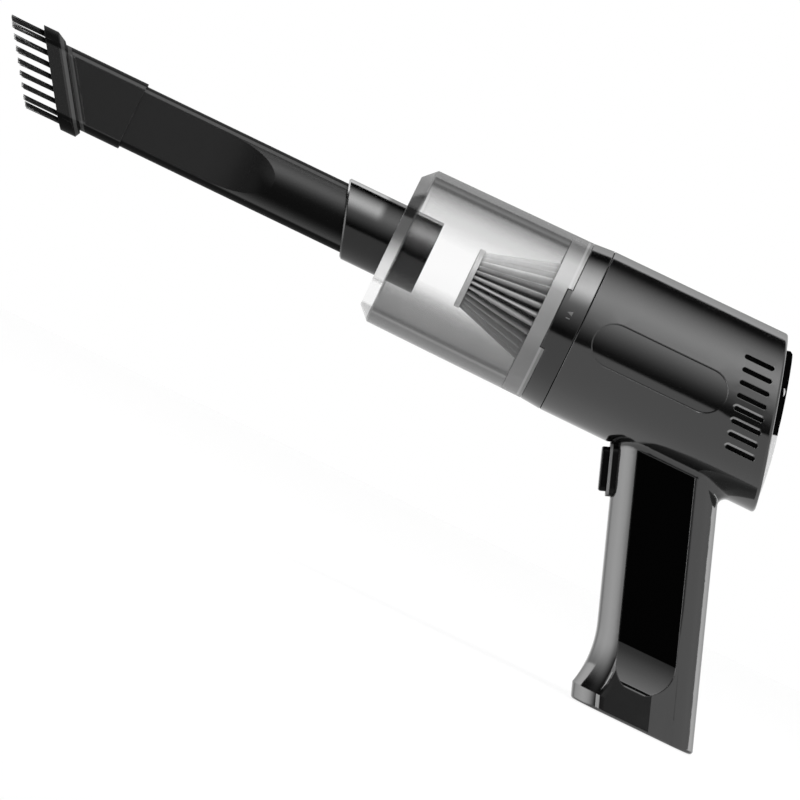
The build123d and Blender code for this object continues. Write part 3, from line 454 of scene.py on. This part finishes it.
# Lock collar and bayonet neck: the collar turns on the neck to lock the cup. The neck is black and
# lightly greased, and the collar is graphite like the housing, with a moulded pointer and bar at its
# side. A dull black slip ring fills the seam behind it, and its black stands in for the shade in the seam.
dress(moulded("neck_plastic", colour=0.006, gloss=0.24, grain_depth=0.000006)[0], "bayonet_ring")
collar_graphite = moulded(
    "collar_graphite", colour=0.002, gloss=0.11, grain_depth=0.000002, Specular_IOR_Level=0.40
)[0]
dress(collar_graphite, "lock_collar")
# The washer's black stands in for the shade in the seam.
seam_shade_washer_black = moulded(
    "seam_shade_washer_black", colour=0.001, gloss=0.6, grain_depth=0.00001, Specular_IOR_Level=0.05
)[0]
dress(seam_shade_washer_black, "collar_washer")

collar_middle_x = -0.0912
collar_radius = 0.0336
mark_height = 0.00022
pointer = ((-0.0013, 0.0042), (0.0008, 0.0033), (0.0008, 0.0051))
bar = ((-0.0011, 0.0018), (0.0006, 0.0018), (0.0006, 0.0022), (-0.0011, 0.0022))


def wall(bm, first, second):
    """Faces from one closed ring of points to another. Gives the new faces."""
    faces = []
    for index in range(len(first)):
        after = (index + 1) % len(first)
        faces.append(bm.faces.new((first[index], first[after], second[after], second[index])))
    return faces


def into_scene(bm, name):
    """Puts a finished mesh into the scene as an object."""
    mesh = bpy.data.meshes.new(name)
    bm.to_mesh(mesh)
    bm.free()
    made = bpy.data.objects.new(name, mesh)
    bpy.context.scene.collection.objects.link(made)
    return made


def raised_mark(name, outline):
    """A low raised outline on the collar, from points of X and arc length, both from its middle."""
    bm = bmesh.new()
    rings = []
    for radius in (collar_radius - mark_height, collar_radius + mark_height):
        ring = []
        for along, arc in outline:
            turn = arc / collar_radius
            point = (collar_middle_x + along, -radius * cos(turn), axis_z + radius * sin(turn))
            ring.append(bm.verts.new(point))
        rings.append(ring)
    low, high = rings
    bm.faces.new(high)
    bm.faces.new(list(reversed(low)))
    wall(bm, low, high)
    bmesh.ops.recalc_face_normals(bm, faces=bm.faces)
    return into_scene(bm, name)


mark_plastic = moulded("mark_plastic", colour=0.10, gloss=0.30, grain_depth=0.000004, edge_round=0.0001)[0]
for mark_name, outline in (("collar_pointer", pointer), ("collar_bar", bar)):
    mark = raised_mark(mark_name, outline)
    mark.data.materials.append(mark_plastic)
    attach(mark, "collar")


# Filter: folded paper round a cone, potted into a light grey cap and a flange. The folds are soft at
# their crests and lean a little differently each. Their crests and valleys are painted with light and
# shade by height: pale on top, painted shade in the valleys across the middle, mid grey below. Grey
# patches of dust lie on them. A rubber gasket seals the flange, and a ring of the same rubber seals the
# inlet.
filter_frame = moulded(
    "filter_frame", colour=0.52, gloss=0.36, grain_depth=0.000010, edge_round=0.0005, edge_lift=0.1
)[0]
dress(filter_frame, "filter_cap", "filter_base")

pleat_count = 30
pleat_points = 14
pleat_rows = 18
pleat_depth = 0.16
pleat_sharpness = 0.8
pleat_lean = 0.10
paper_thickness = 0.0005
media_low, media_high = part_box("filter_media")
media_front_x, media_rear_x = media_low.x, media_high.x
media_rear_radius = media_high.z - axis_z
media_taper = 11.8 / 20.7
media_front_radius = media_rear_radius * media_taper


def paper_ring(bm, share, inward):
    """One closed line round the paper, share of the way from its front end to its rear end."""
    count = pleat_count * pleat_points
    crest_radius = media_front_radius + (media_rear_radius - media_front_radius) * share
    ring = []
    for index in range(count):
        fold, step = divmod(index, pleat_points)
        valley = (0.5 - 0.5 * cos(2 * pi * (step / pleat_points))) ** pleat_sharpness
        sway = pleat_lean * sin(fold * 2.4 + 1.3) * sin(pi * share)
        turn = 2 * pi * (index + sway * pleat_points) / count
        radius = crest_radius * (1 - pleat_depth * valley) - inward
        along = media_front_x + (media_rear_x - media_front_x) * share
        ring.append(bm.verts.new((along, radius * sin(turn), axis_z + radius * cos(turn))))
    return ring


def pleated_paper():
    """The folded paper as a closed tube: an outer skin and an inner one, joined at both ends."""
    bm = bmesh.new()
    shares = [row / pleat_rows for row in range(pleat_rows + 1)]
    outer = [paper_ring(bm, share, 0.0) for share in shares]
    inner = [paper_ring(bm, share, paper_thickness) for share in shares]
    for ring, after in zip(outer, outer[1:]):
        wall(bm, after, ring)
    for ring, after in zip(inner, inner[1:]):
        wall(bm, ring, after)
    wall(bm, outer[0], inner[0])
    wall(bm, inner[-1], outer[-1])
    bmesh.ops.recalc_face_normals(bm, faces=bm.faces)
    for face in bm.faces:
        face.smooth = True
    return into_scene(bm, "filter_paper")


def ramp(value, *stops):
    """The level at value, read off straight lines between stops of position and level."""
    colours = [(position, grey(level)) for position, level in stops]
    return value.node("ValToRGB", {"stops": colours}, {"Fac": value})


def barrel_axes(place):
    """X, the height above the barrel's axis, and the distance from that axis."""
    along, across, height = axes(place)
    up = height - axis_z
    return along, up, (across * across + up * up) ** 0.5


dust_grey = grey(0.24)
dust_share = 0.15
fibre_depth = 0.00005

paper_made, paper_shader, paper_place = finish("filter_paper", Specular_IOR_Level=0.25)
paper_x, paper_up, paper_away = barrel_axes(paper_place)
paper_share = (paper_x - media_front_x) / (media_rear_x - media_front_x)
paper_reach = paper_share * (media_rear_radius - media_front_radius) + media_front_radius
paper_depth = (1 - paper_away / paper_reach) / pleat_depth
paper_dust = noise(paper_place, scale=260.0, detail=4.0, roughness=0.6)
paper_fibre = noise(paper_place, scale=2300.0, detail=4.0, roughness=0.7)
paper_height = paper_up / paper_reach * 0.5 + 0.5
# Painted light and shade: crests and valleys pale on top and mid grey below, valleys dark across the
# middle.
painted_crest_shading = ramp(
    paper_height,
    (0.0, 0.40),
    (0.15, 0.34),
    (0.28, 0.32),
    (0.35, 0.44),
    (0.45, 0.62),
    (0.55, 0.56),
    (0.65, 0.50),
    (0.73, 0.64),
    (0.85, 0.80),
    (1.0, 0.82),
)
painted_valley_shading = ramp(
    paper_height,
    (0.0, 0.36),
    (0.15, 0.28),
    (0.28, 0.14),
    (0.35, 0.03),
    (0.50, 0.01),
    (0.62, 0.04),
    (0.70, 0.30),
    (0.80, 0.60),
    (0.90, 0.74),
    (1.0, 0.78),
)
painted_fold_shading = tint(rise(paper_depth, 0.15, 0.95), painted_crest_shading, painted_valley_shading)
feed(
    paper_shader,
    Base_Color=tint(rise(paper_dust, 0.35, 0.75) * dust_share, painted_fold_shading, dust_grey),
    Roughness=paper_fibre * 0.2 + 0.7,
    Normal=bump(paper_fibre, fibre_depth),
)
filter_paper = pleated_paper()
filter_paper.data.materials.append(paper_made)
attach(filter_paper, "filter")
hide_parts("filter_media")

black_rubber = moulded("black_rubber", colour=0.010, gloss=0.55, grain_depth=0.000030)[0]
dress(black_rubber, "filter_gasket", "inlet_seal")


# Dust cup: a thick-walled barrel in clear, faintly smoked polycarbonate, moulded in one with its
# front wall. The wall darkens where the eye looks along it, and the rear rim is frosted. The wall's
# density and tone hold painted reflections and shade: the lower half is denser as painted shade, the
# front wall has a painted shadow of the tube, the rim a painted highlight, and its edges painted
# highlight lines.
cup_front_x = -0.1660
cup_front_wall = 0.0043
cup_wall_end_x = cup_front_x + cup_front_wall
cup_rim_x = -0.1025
cup_inside_radius = 0.0300
cup_radius = 0.033
cup_blend = 0.0003
cup_skin_blend = 0.0002
rim_blend = 0.0001
cup_ripple_depth = 0.00004
rim_highlight_x = (-0.0965, -0.0962, -0.0956, -0.0953)
rim_alpha = 0.86
smoke_grey = grey(0.13)
smoke_grey_edge_on = grey(0.05)
scuff_grey = grey(0.5)
scuff_share = 0.15
painted_edge_highlight = grey(0.9)
nose_highlight_share = 0.5
rim_highlight_share = 0.2


def wall_film(facing, up, haze):
    """How dense the side wall looks: clear face-on, dense where the eye looks along it, with painted
    shade.
    """
    # The steps of both ramps hold painted reflections; the lower ramp is denser, as painted shade.
    top = ramp(
        facing,
        (0.0, 0.01),
        (0.035, 0.02),
        (0.07, 0.09),
        (0.13, 0.18),
        (0.20, 0.235),
        (0.26, 0.32),
        (0.32, 0.44),
        (0.39, 0.55),
        (0.427, 0.69),
        (0.445, 0.75),
        (0.464, 0.74),
        (0.504, 0.61),
        (0.526, 0.63),
        (0.575, 0.72),
        (0.64, 0.78),
        (1.0, 0.72),
    )
    painted_lower_shade = ramp(
        facing,
        (0.0, 0.01),
        (0.035, 0.03),
        (0.07, 0.18),
        (0.096, 0.34),
        (0.13, 0.47),
        (0.165, 0.545),
        (0.21, 0.61),
        (0.32, 0.655),
        (0.38, 0.70),
        (0.42, 0.80),
        (0.46, 0.70),
        (0.49, 0.55),
        (0.54, 0.66),
        (1.0, 0.64),
    )
    upper = rise(up, -0.003, 0.003)
    return (upper * top + (1 - upper) * painted_lower_shade) * (haze * 0.10 + 0.95)


def nose_film(up):
    """How dense the front wall looks: full at the top, thinner under that to let painted light into the
    tube's shadow, and clear low down.
    """
    full = rise(up, 0.0195, 0.0215)
    thin = rise(up, 0.0145, 0.0160) * (1 - full)
    clear = between(up, -0.0275, -0.0255, -0.0175, -0.0150)
    return 0.88 - clear * 0.80 - thin * 0.10 + full * 0.06


def nose_painted_shading(height):
    """The front wall's tone, which paints light and shade: bright below the tube, a painted shadow of the
    tube above it, and grey at the very top.
    """
    return ramp(
        height,
        (0.0, 0.90),
        (0.10, 0.72),
        (0.14, 0.95),
        (0.27, 0.95),
        (0.36, 0.80),
        (0.42, 0.58),
        (0.47, 0.38),
        (0.515, 0.19),
        (0.56, 0.14),
        (0.65, 0.13),
        (0.67, 0.02),
        (0.715, 0.02),
        (0.745, 0.05),
        (0.88, 0.02),
        (0.93, 0.10),
        (1.0, 0.40),
    )


def rim_tone_and_highlight(height):
    """The frosted rim's tone, with a painted highlight brightest about a quarter of the way down from the
    top.
    """
    return ramp(
        height,
        (0.045, 0.20),
        (0.136, 0.23),
        (0.258, 0.215),
        (0.379, 0.285),
        (0.50, 0.29),
        (0.652, 0.32),
        (0.712, 0.52),
        (0.773, 0.55),
        (0.833, 0.54),
        (0.864, 0.42),
        (0.924, 0.19),
        (0.97, 0.12),
        (1.0, 0.12),
    )


cup_made, cup_shader, cup_place = finish("cup_polycarbonate", IOR=1.32)
cup_soft, cup_edge = soft_edge(cup_place, edge_round=0.0005)
cup_x, cup_up, cup_away = barrel_axes(cup_place)
cup_height = (cup_up + cup_radius) / (2 * cup_radius)
cup_facing = cup_place.node("LayerWeight", None, {"Blend": 0.5}, "Facing")
cup_haze = noise(cup_place, scale=70.0, detail=5.0, roughness=0.6)
cup_long = cup_place.node("Mapping", None, {"Vector": cup_place, "Scale": (1.0, 9.0, 9.0)})
cup_scuff = noise(cup_long, scale=300.0, detail=2.0)

outer_skin = rise(cup_away, cup_inside_radius - cup_skin_blend, cup_inside_radius + cup_skin_blend)
nose = 1 - rise(cup_x, cup_wall_end_x - cup_blend, cup_wall_end_x + cup_blend)
rim = rise(cup_x, cup_rim_x - cup_blend, cup_rim_x + rim_blend)
rim_highlight_line = between(cup_x, *rim_highlight_x)

inner_film = rise(cup_facing, 0.86, 0.99) * 0.35 + 0.01
side_film = outer_skin * wall_film(cup_facing, cup_up, cup_haze) + (1 - outer_skin) * inner_film
skin_film = nose * nose_film(cup_up) + (1 - nose) * side_film
side_tone = tint(rise(cup_facing, 0.36, 0.46), smoke_grey, smoke_grey_edge_on)
cup_tone = tint(rim, tint(nose, side_tone, nose_painted_shading(cup_height)), rim_tone_and_highlight(cup_height))
# Painted highlight lines along the front wall's edges and along the rim's rear edge.
cup_tone = tint(nose * cup_edge * nose_highlight_share + rim_highlight_line * rim_highlight_share, cup_tone, painted_edge_highlight)
feed(
    cup_shader,
    Base_Color=tint(rise(cup_scuff, 0.62, 0.80) * scuff_share, cup_tone, scuff_grey),
    Alpha=rim * rim_alpha + (1 - rim) * skin_film,
    Roughness=cup_haze * 0.06 + rim * 0.16 + 0.06,
    Normal=bump(cup_haze, cup_ripple_depth, cup_soft),
)
dress(cup_made, "dust_cup")


# Inlet tube: a glossy black tube pressed through the cup's front wall, with a slanted mouth. Its
# bevel is bright, partly from wear and partly as a painted highlight, the stretch just in front of the
# wall is dull, and the rubber seal sits in a groove behind the mouth.
tube_shade_x = (cup_front_x - 0.002, cup_front_x + 0.002)
tube_dull_x = (cup_front_x - 0.0095, cup_front_x - 0.0060, cup_front_x, cup_front_x + 0.001)
tube_upper_z = (axis_z + 0.003, axis_z + 0.009)
tube_black, tube_shader, tube_place = moulded(
    "tube_black",
    colour=0.001,
    gloss=0.14,
    grain_depth=0.000002,
    edge_round=0.0006,
    edge_lift=0.3,
    Specular_IOR_Level=0.25,
    Coat_IOR=1.7,
    Coat_Roughness=0.10,
)
tube_x, _, tube_z = axes(tube_place)
tube_shade = 1 - rise(tube_x, *tube_shade_x) * 0.4
tube_dull = between(tube_x, *tube_dull_x)
feed(tube_shader, Coat_Weight=rise(tube_z, *tube_upper_z) * tube_shade * (1 - tube_dull))
dress(tube_black, "inlet_tube")


# Crevice nozzle: a long satin black tube whose front is squeezed flat, with a scooped run-out.
# It is spark-eroded, a little smoother on its flats and on the upper side of its round part, and a
# paler line along the upper edge of the flats is a painted highlight.
mouth_slant = tan(radians(34.6))
flat_gloss = 0.58
flat_blend_y = 0.0040
flat_blend_up = 0.0004
round_gloss = 0.30
round_side_up = (-0.003, 0.004, 0.0092, 0.0118)
brow_steps = (-0.0003, 0.0002, 0.0009, 0.0014)
brow_start_blend = 0.0004
brow_highlight_grey = grey(0.085)


def satin_black(name, flat_y, flat_up, edge_lift, front_x):
    """Satin black, smoother on the flats, which reach flat_y out and flat_up above the axis.

    A painted highlight line follows the flats' upper edge behind the slanted line through front_x.
    """
    made, shader, place = moulded(
        name,
        colour=0.005,
        gloss=0.30,
        grain_depth=0.000012,
        edge_round=0.0007,
        edge_lift=edge_lift,
        IOR=1.04,
        Coat_Roughness=0.26,
    )
    along, across, height = axes(place)
    up = height - axis_z
    slanted = along + up * mouth_slant
    flat = 1 - rise(abs(across), flat_y, flat_y + flat_blend_y)
    level = 1 - rise(abs(up), flat_up - flat_blend_up, flat_up + flat_blend_up)
    round_side = between(up, *round_side_up) * round_gloss
    # The brow is a painted highlight along the flats' upper edge.
    brow_highlight = between(up, *[flat_up + step for step in brow_steps])
    brow_highlight = brow_highlight * rise(slanted, front_x, front_x + brow_start_blend)
    feed(
        shader,
        Base_Color=tint(brow_highlight, fed(shader, "Base Color"), brow_highlight_grey),
        Coat_Weight=(flat * level * flat_gloss).max(round_side),
    )
    return made, shader, slanted


nozzle_black = satin_black("nozzle_black", flat_y=0.0078, flat_up=0.0104, edge_lift=0.3, front_x=-0.32)[0]
dress(nozzle_black, "crevice_nozzle")


# Brush: a satin black sleeve and flange, with tufts of nylon set round the slanted mouth.
# Each tuft is a bundle of tapered strands that fan out a little and aren't quite one length. Two
# painted highlight bands run across, one on the flange's rear edge and one just behind it.
front_band_x = (-0.3059, -0.3055, -0.3043, -0.3039)
rear_band_x = (-0.3031, -0.3027, -0.3013, -0.3009)
band_highlight_grey = grey(0.06)
brush_made, brush_shader, brush_slanted = satin_black(
    "brush_black", flat_y=0.0116, flat_up=0.0112, edge_lift=0.5, front_x=-0.3012
)
# The two paler bands are painted highlights.
brush_highlight_bands = between(brush_slanted, *front_band_x) + between(brush_slanted, *rear_band_x)
feed(brush_shader, Base_Color=tint(brush_highlight_bands, fed(brush_shader, "Base Color"), band_highlight_grey))
dress(brush_made, "brush_head")

backing_front_x = -0.3124
backing_thickness = 0.0014
backing_radius = 0.0160
backing_half_width = 0.0102
mouth_radius = 0.0113
mouth_half_width = 0.0059
outline_points = 96
root_x = backing_front_x + backing_thickness / 2
strand_length = 0.0153
strand_radius = 0.00016
strand_taper = 0.35
strand_fan = 0.25
strand_stray = 0.00008
strand_unevenness = 0.015
strand_rings = 3
strand_pitch = 0.00034
strand_steps = 3
strand_sides = 4
side_tufts = 7
tuft_pitch = 0.0039
tuft_side_y = 0.0085
tuft_end_radius = 0.0143
tuft_end_pitch = 0.0034


def flat_sided_outline(radius, half_width):
    """Points round a circle that is cut off at both sides, as Y and height."""
    points = []
    for index in range(outline_points):
        turn = 2 * pi * (index + 0.5) / outline_points
        away = min(radius, half_width / max(abs(sin(turn)), 1e-6))
        points.append((away * sin(turn), away * cos(turn)))
    return points


def backing(bm):
    """The backing plate: a slanted flat-sided ring round the mouth."""
    plates = []
    for radius, half_width in ((backing_radius, backing_half_width), (mouth_radius, mouth_half_width)):
        outline = flat_sided_outline(radius, half_width)
        for shift in (0.0, backing_thickness):
            plate = []
            for across, up in outline:
                plate.append(
                    bm.verts.new((backing_front_x + shift - up * mouth_slant, across, axis_z + up))
                )
            plates.append(plate)
    outer_front, outer_rear, inner_front, inner_rear = plates
    wall(bm, outer_front, outer_rear)
    wall(bm, outer_rear, inner_rear)
    wall(bm, inner_rear, inner_front)
    wall(bm, inner_front, outer_front)


def tuft_places():
    """The middle of each tuft: a row down each side of the mouth, and three at each end."""
    for side in (-1, 1):
        for index in range(side_tufts):
            yield side * tuft_side_y, (index - side_tufts // 2) * tuft_pitch
        for index in (-1, 0, 1):
            across = index * tuft_end_pitch
            yield across, side * sqrt(tuft_end_radius**2 - across**2)


def strand_places():
    """The place of each strand in its tuft: one in the middle, with rings of six and twelve."""
    yield 0.0, 0.0
    for layer in range(1, strand_rings):
        for index in range(6 * layer):
            turn = 2 * pi * index / (6 * layer)
            yield layer * strand_pitch * cos(turn), layer * strand_pitch * sin(turn)


def scatter(tuft, index):
    """Two uneven values from -1 to 1 for a strand, the same in every run."""
    return sin(tuft * 12.9 + index * 78.2), cos(tuft * 7.1 + index * 31.7)


def strand(bm, start, across, up, stray):
    """One tapered strand that bends away from its tuft's middle and strays a little."""
    stray_y, stray_up = stray
    length = strand_length * (1 - strand_unevenness * (1 + stray_y))
    rings = []
    for step in range(strand_steps + 1):
        share = step / strand_steps
        bend = share * share
        spread_y = bend * (across * strand_fan + strand_stray * stray_y)
        spread_up = bend * (up * strand_fan + strand_stray * stray_up)
        centre = start + Vector((-length * share, spread_y, spread_up))
        radius = strand_radius * (1 - strand_taper * share)
        ring = []
        for corner in range(strand_sides):
            turn = 2 * pi * (corner + 0.5) / strand_sides + stray_y
            ring.append(bm.verts.new(centre + Vector((0, radius * cos(turn), radius * sin(turn)))))
        rings.append(ring)
    for ring, after in zip(rings, rings[1:]):
        for face in wall(bm, ring, after):
            face.smooth = True
    bm.faces.new(rings[0])
    bm.faces.new(list(reversed(rings[-1])))


def bristle_tufts():
    """The backing plate with its mouth, and every strand standing in it."""
    bm = bmesh.new()
    backing(bm)
    for tuft, (tuft_y, tuft_up) in enumerate(tuft_places()):
        for index, (across, up) in enumerate(strand_places()):
            root_up = tuft_up + up
            start = Vector((root_x - root_up * mouth_slant, tuft_y + across, axis_z + root_up))
            strand(bm, start, across, up, scatter(tuft, index))
    bmesh.ops.recalc_face_normals(bm, faces=bm.faces)
    return into_scene(bm, "bristles")


nylon_grain_depth = 0.00002
nylon_made, nylon_shader, nylon_place = finish("bristle_nylon", Specular_IOR_Level=0.2)
nylon_tone = noise(nylon_place, scale=900.0, detail=2.0)
feed(
    nylon_shader,
    Base_Color=tint(nylon_tone, grey(0.001), grey(0.004)),
    Roughness=nylon_tone * 0.15 + 0.32,
    Normal=bump(nylon_tone, nylon_grain_depth),
)
bristles = bristle_tufts()
bristles.data.materials.append(nylon_made)
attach(bristles, "brush")
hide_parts("brush_bristles")


# Rear panel and exhaust cap: a domed plate closes the barrel behind the motor, and a black cover is
# pushed into its port, with a pale stud at each side whose pale colour is a painted glint. The panel is
# black above and pale grey below, and both shine on their flat rear face. Black foam lines the barrel
# behind the vents, and its black stands in for the shade inside them.
rear_turn = radians(15.0)
rear_out = Vector((cos(rear_turn), 0.0, sin(rear_turn)))
rear_up = Vector((-sin(rear_turn), 0.0, cos(rear_turn)))
rear_centre = Vector((-0.0019, 0.0, axis_z))
panel_split = -0.0045
panel_split_blend = 0.0004
panel_black = grey(0.003)


def polished_rear(name, colour, gloss, grain_depth, edge_round, edge_lift):
    """Moulded plastic that shines on its flat rear face alone, and not when seen edge-on."""
    made, shader, place = moulded(
        name,
        colour,
        gloss,
        grain_depth,
        edge_round,
        edge_lift,
        Specular_IOR_Level=0.0,
        Coat_Roughness=0.12,
    )
    normal = place.node("NewGeometry", output="Normal")
    rear_face = rise(reach(normal, rear_out), 0.85, 0.95)
    edge_on = rise(place.node("LayerWeight", None, {"Blend": 0.5}, "Facing"), 0.55, 0.75)
    feed(shader, Coat_Weight=rear_face * (1 - edge_on))
    return made, shader, place


panel_made, panel_shader, panel_place = polished_rear(
    "panel_two_tone", colour=0.88, gloss=0.24, grain_depth=0.000004, edge_round=0.0004, edge_lift=0.1
)
panel_height = reach(panel_place, rear_up) - rear_centre.dot(rear_up)
panel_dark = rise(panel_height, panel_split, panel_split + panel_split_blend)
feed(panel_shader, Base_Color=tint(panel_dark, fed(panel_shader, "Base Color"), panel_black))
dress(panel_made, "rear_panel")

cap_black = polished_rear(
    "cap_black", colour=0.002, gloss=0.14, grain_depth=0.000003, edge_round=0.0005, edge_lift=0.02
)[0]
dress(cap_black, "exhaust_cap")

# The foam's black also stands in for the shade inside the vents.
foam_cell_depth = 0.0003
foam_made, foam_shader, foam_place = finish("filter_foam", Specular_IOR_Level=0.1)
foam_cells = foam_place.node("TexVoronoi", None, {"Vector": foam_place, "Scale": 1300.0}, "Distance")
feed(
    foam_shader,
    Base_Color=tint(rise(foam_cells, 0.2, 0.7), grey(0.002), grey(0.012)),
    Roughness=foam_cells * 0.2 + 0.8,
    Normal=bump(foam_cells, foam_cell_depth),
)
dress(foam_made, "exhaust_foam")

cap_rim_radius = 0.0165
cap_rim_out = 0.0016
cap_rim_up = 0.0126
cap_middle = rear_centre + rear_out * cap_rim_out + rear_up * cap_rim_up
stud_sink = 0.0001
stud_sides = 24
stud_width = 0.75
stud_height = 1.5
stud_profile = ((0.0012, -0.0004), (0.0012, 0.00005), (0.0010, 0.00025), (0.0006, 0.00042))
stud_tip = 0.00048


def cap_stud(name, side):
    """A low oval stud on the cap's rim, domed to a tip; its pale colour stands in for a glint."""
    bm = bmesh.new()
    middle = cap_middle + Vector((0, side * (cap_rim_radius - stud_sink), 0))
    rings = []
    for radius, out in stud_profile:
        ring = []
        for index in range(stud_sides):
            turn = 2 * pi * index / stud_sides
            across = rear_out * (stud_width * radius * cos(turn))
            upward = rear_up * (stud_height * radius * sin(turn))
            ring.append(bm.verts.new(middle + (across + upward) + Vector((0, side * out, 0))))
        rings.append(ring)
    tip = bm.verts.new(middle + Vector((0, side * stud_tip, 0)))
    for low, high in zip(rings, rings[1:]):
        for face in wall(bm, low, high):
            face.smooth = True
    top = rings[-1]
    for index in range(stud_sides):
        bm.faces.new((top[index], top[(index + 1) % stud_sides], tip)).smooth = True
    bm.faces.new(rings[0])
    bmesh.ops.recalc_face_normals(bm, faces=bm.faces)
    return into_scene(bm, name)


# The studs' pale grey is a painted glint on the cap's rim.
glint_stud_plastic = moulded("glint_stud_plastic", colour=0.55, gloss=0.25, grain_depth=0.000004, edge_round=0.0002)[0]
for stud_name, side in (("cap_stud_left", -1), ("cap_stud_right", 1)):
    stud = cap_stud(stud_name, side)
    stud.data.materials.append(glint_stud_plastic)
    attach(stud, "cap")


# Studio: a white room with a pale table. One broad soft lamp hangs above, and what shines on the
# glossy plastic is a white ceiling with a brighter panel in it, a white wall at each side, a strip of
# light behind and a white table edge. The table keeps the cleaner's soft shadow.
floor_radius = 4.0
floor_drop = 0.0004
floor_colour = grey(0.86)
floor_glow = 1.08
floor_glow_share = 0.80

bm = bmesh.new()
bmesh.ops.create_circle(bm, cap_ends=True, segments=96, radius=floor_radius)
floor = into_scene(bm, "floor")
floor.location.z = -floor_drop
floor.visible_glossy = False
floor_made = bpy.data.materials.new("floor_white")
floor_made.use_nodes = True
floor_tree = floor_made.node_tree
floor_shader = floor_tree.nodes["Principled BSDF"]
floor_shader.inputs["Base Color"].default_value = floor_colour
floor_shader.inputs["Roughness"].default_value = 0.9
floor_plain = Socket(floor_tree, floor_shader.outputs[0])
floor_light = floor_plain.node("Emission", None, {"Color": grey(1.0), "Strength": floor_glow})
floor_clear = floor_plain.node("BsdfTransparent")
floor_camera = floor_plain.node("LightPath", output="Is Camera Ray")
floor_under = floor_plain.node("NewGeometry", output="Backfacing")
floor_mix = {0: floor_camera * floor_glow_share, 1: floor_plain, 2: floor_light}
floor_lit = floor_plain.node("MixShader", None, floor_mix)
floor_seen = floor_plain.node("MixShader", None, {0: floor_under, 1: floor_lit, 2: floor_clear})
floor_tree.links.new(floor_seen.output, floor_tree.nodes["Material Output"].inputs["Surface"])
floor.data.materials.append(floor_made)
floor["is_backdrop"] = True

fill_light = 0.30
ceiling_light = 4.9
ceiling_tilt = (radians(-14), radians(60), radians(50), radians(118))
panel_extra = 2.35
panel_left = (0.05, 0.095, 0.20, 0.26)
panel_tilt = (radians(26), radians(56))
strip_light = 0.27
strip_tilt = (radians(131), radians(135))
table_light = 1.57
table_dimming = 0.66
table_near_dip = (radians(15.5), radians(18.5))
table_far_dip = (radians(92), radians(150))
left_light = 6.6
right_light = 1.8
head_on_mirroring = 0.04


def mirroring(away):
    """How strongly a glossy side reflects a direction, by how far that points away from the camera."""
    glancing = (1 - ((1 - away) * 0.5) ** 0.5) ** 5
    return glancing * (1 - head_on_mirroring) + head_on_mirroring


def bright_room(look):
    """How bright the room is in each direction, as gloss reflects it.

    Tilt is the angle above the table on the camera's side, and goes on past 90 degrees behind the cleaner.
    """
    along, away, up = axes(look)
    tilt = look.calculate("ARCTAN2", up, -away)
    middle = 1 - rise(abs(along), 0.25, 0.45)
    ceiling = between(tilt, *ceiling_tilt)
    panel = between(-along, *panel_left) * rise(tilt, *panel_tilt)
    overhead = ceiling * middle * (panel * panel_extra + 1) * ceiling_light
    strip = rise(tilt, *strip_tilt) * strip_light / mirroring(away)
    table_near = rise(-tilt, *table_near_dip)
    table_far = rise(-tilt, *table_far_dip)
    table = table_near * (table_light - table_far * table_dimming)
    left = rise(-along, 0.45, 0.90) * rise(-up, -0.18, 0.24) * (1 - rise(away, -0.2, 0.6) * 0.5)
    right = rise(along, 0.14, 0.18) * (1 - rise(away, -0.4, 0.6) * 0.5)
    return overhead.max(strip).max(table).max(left * left_light).max(right * right_light)


world = bpy.data.worlds.new("studio")
bpy.context.scene.world = world
world.use_nodes = True
world.cycles.sampling_method = "NONE"
world_tree = world.node_tree
look = Socket(world_tree).node("TexCoord", output="Generated")
light_path = look.node("LightPath").output.node
is_glossy = Socket(world_tree, light_path.outputs["Is Glossy Ray"])
is_camera = Socket(world_tree, light_path.outputs["Is Camera Ray"])
is_through = Socket(world_tree, light_path.outputs["Is Transmission Ray"])
soft_fill = rise(axes(look)[2], -0.9, 0.9) * fill_light + fill_light
white_seen = is_camera.max(is_through)
dull_or_glossy = is_glossy * bright_room(look) + (1 - is_glossy) * soft_fill
strength = white_seen + (1 - white_seen) * dull_or_glossy
background = look.node("Background", None, {"Color": grey(1.0), "Strength": strength})
world_tree.links.new(background.output, world_tree.nodes["World Output"].inputs["Surface"])

lamp_target = Vector((-0.136, 0, 0.1))
lamp_data = bpy.data.lights.new("ceiling_lamp", "AREA")
lamp_data.shape = "DISK"
lamp_data.size = 1.2
lamp_data.energy = 17.0
lamp = bpy.data.objects.new("ceiling_lamp", lamp_data)
bpy.context.scene.collection.objects.link(lamp)
lamp.location = (-0.20, -0.95, 1.60)
lamp.rotation_euler = (lamp_target - lamp.location).to_track_quat("-Z", "Y").to_euler()
lamp.visible_glossy = False


# Camera: far away with a long lens, level with the cleaner and turned about its own line of sight,
# so that the nose points up to the left as in the photograph.
view_width = 0.3114
view_middle = Vector((-0.136, 0.0, 0.0753))
camera_distance = 3.4
picture_right = Vector((0.901, 0.0, 0.434)).normalized()
picture_up = Vector((-0.434, 0.0, 0.901)).normalized()
toward_camera = picture_right.cross(picture_up)

camera_data = bpy.data.cameras.new("camera")
camera_data.sensor_width = 36.0
camera_data.lens = camera_data.sensor_width * camera_distance / view_width
camera_data.clip_end = 60.0
camera = bpy.data.objects.new("camera", camera_data)
bpy.context.scene.collection.objects.link(camera)
camera_place = Matrix.Translation(view_middle + toward_camera * camera_distance)
camera_turn = Matrix((picture_right, picture_up, toward_camera)).transposed().to_4x4()
camera.matrix_world = camera_place @ camera_turn
bpy.context.scene.camera = camera
bpy.context.scene.view_settings.view_transform = "Standard"

boxes = {"cad": cad_box, "visual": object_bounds()}
{key: [list(corner) for corner in corners] for key, corners in boxes.items()}
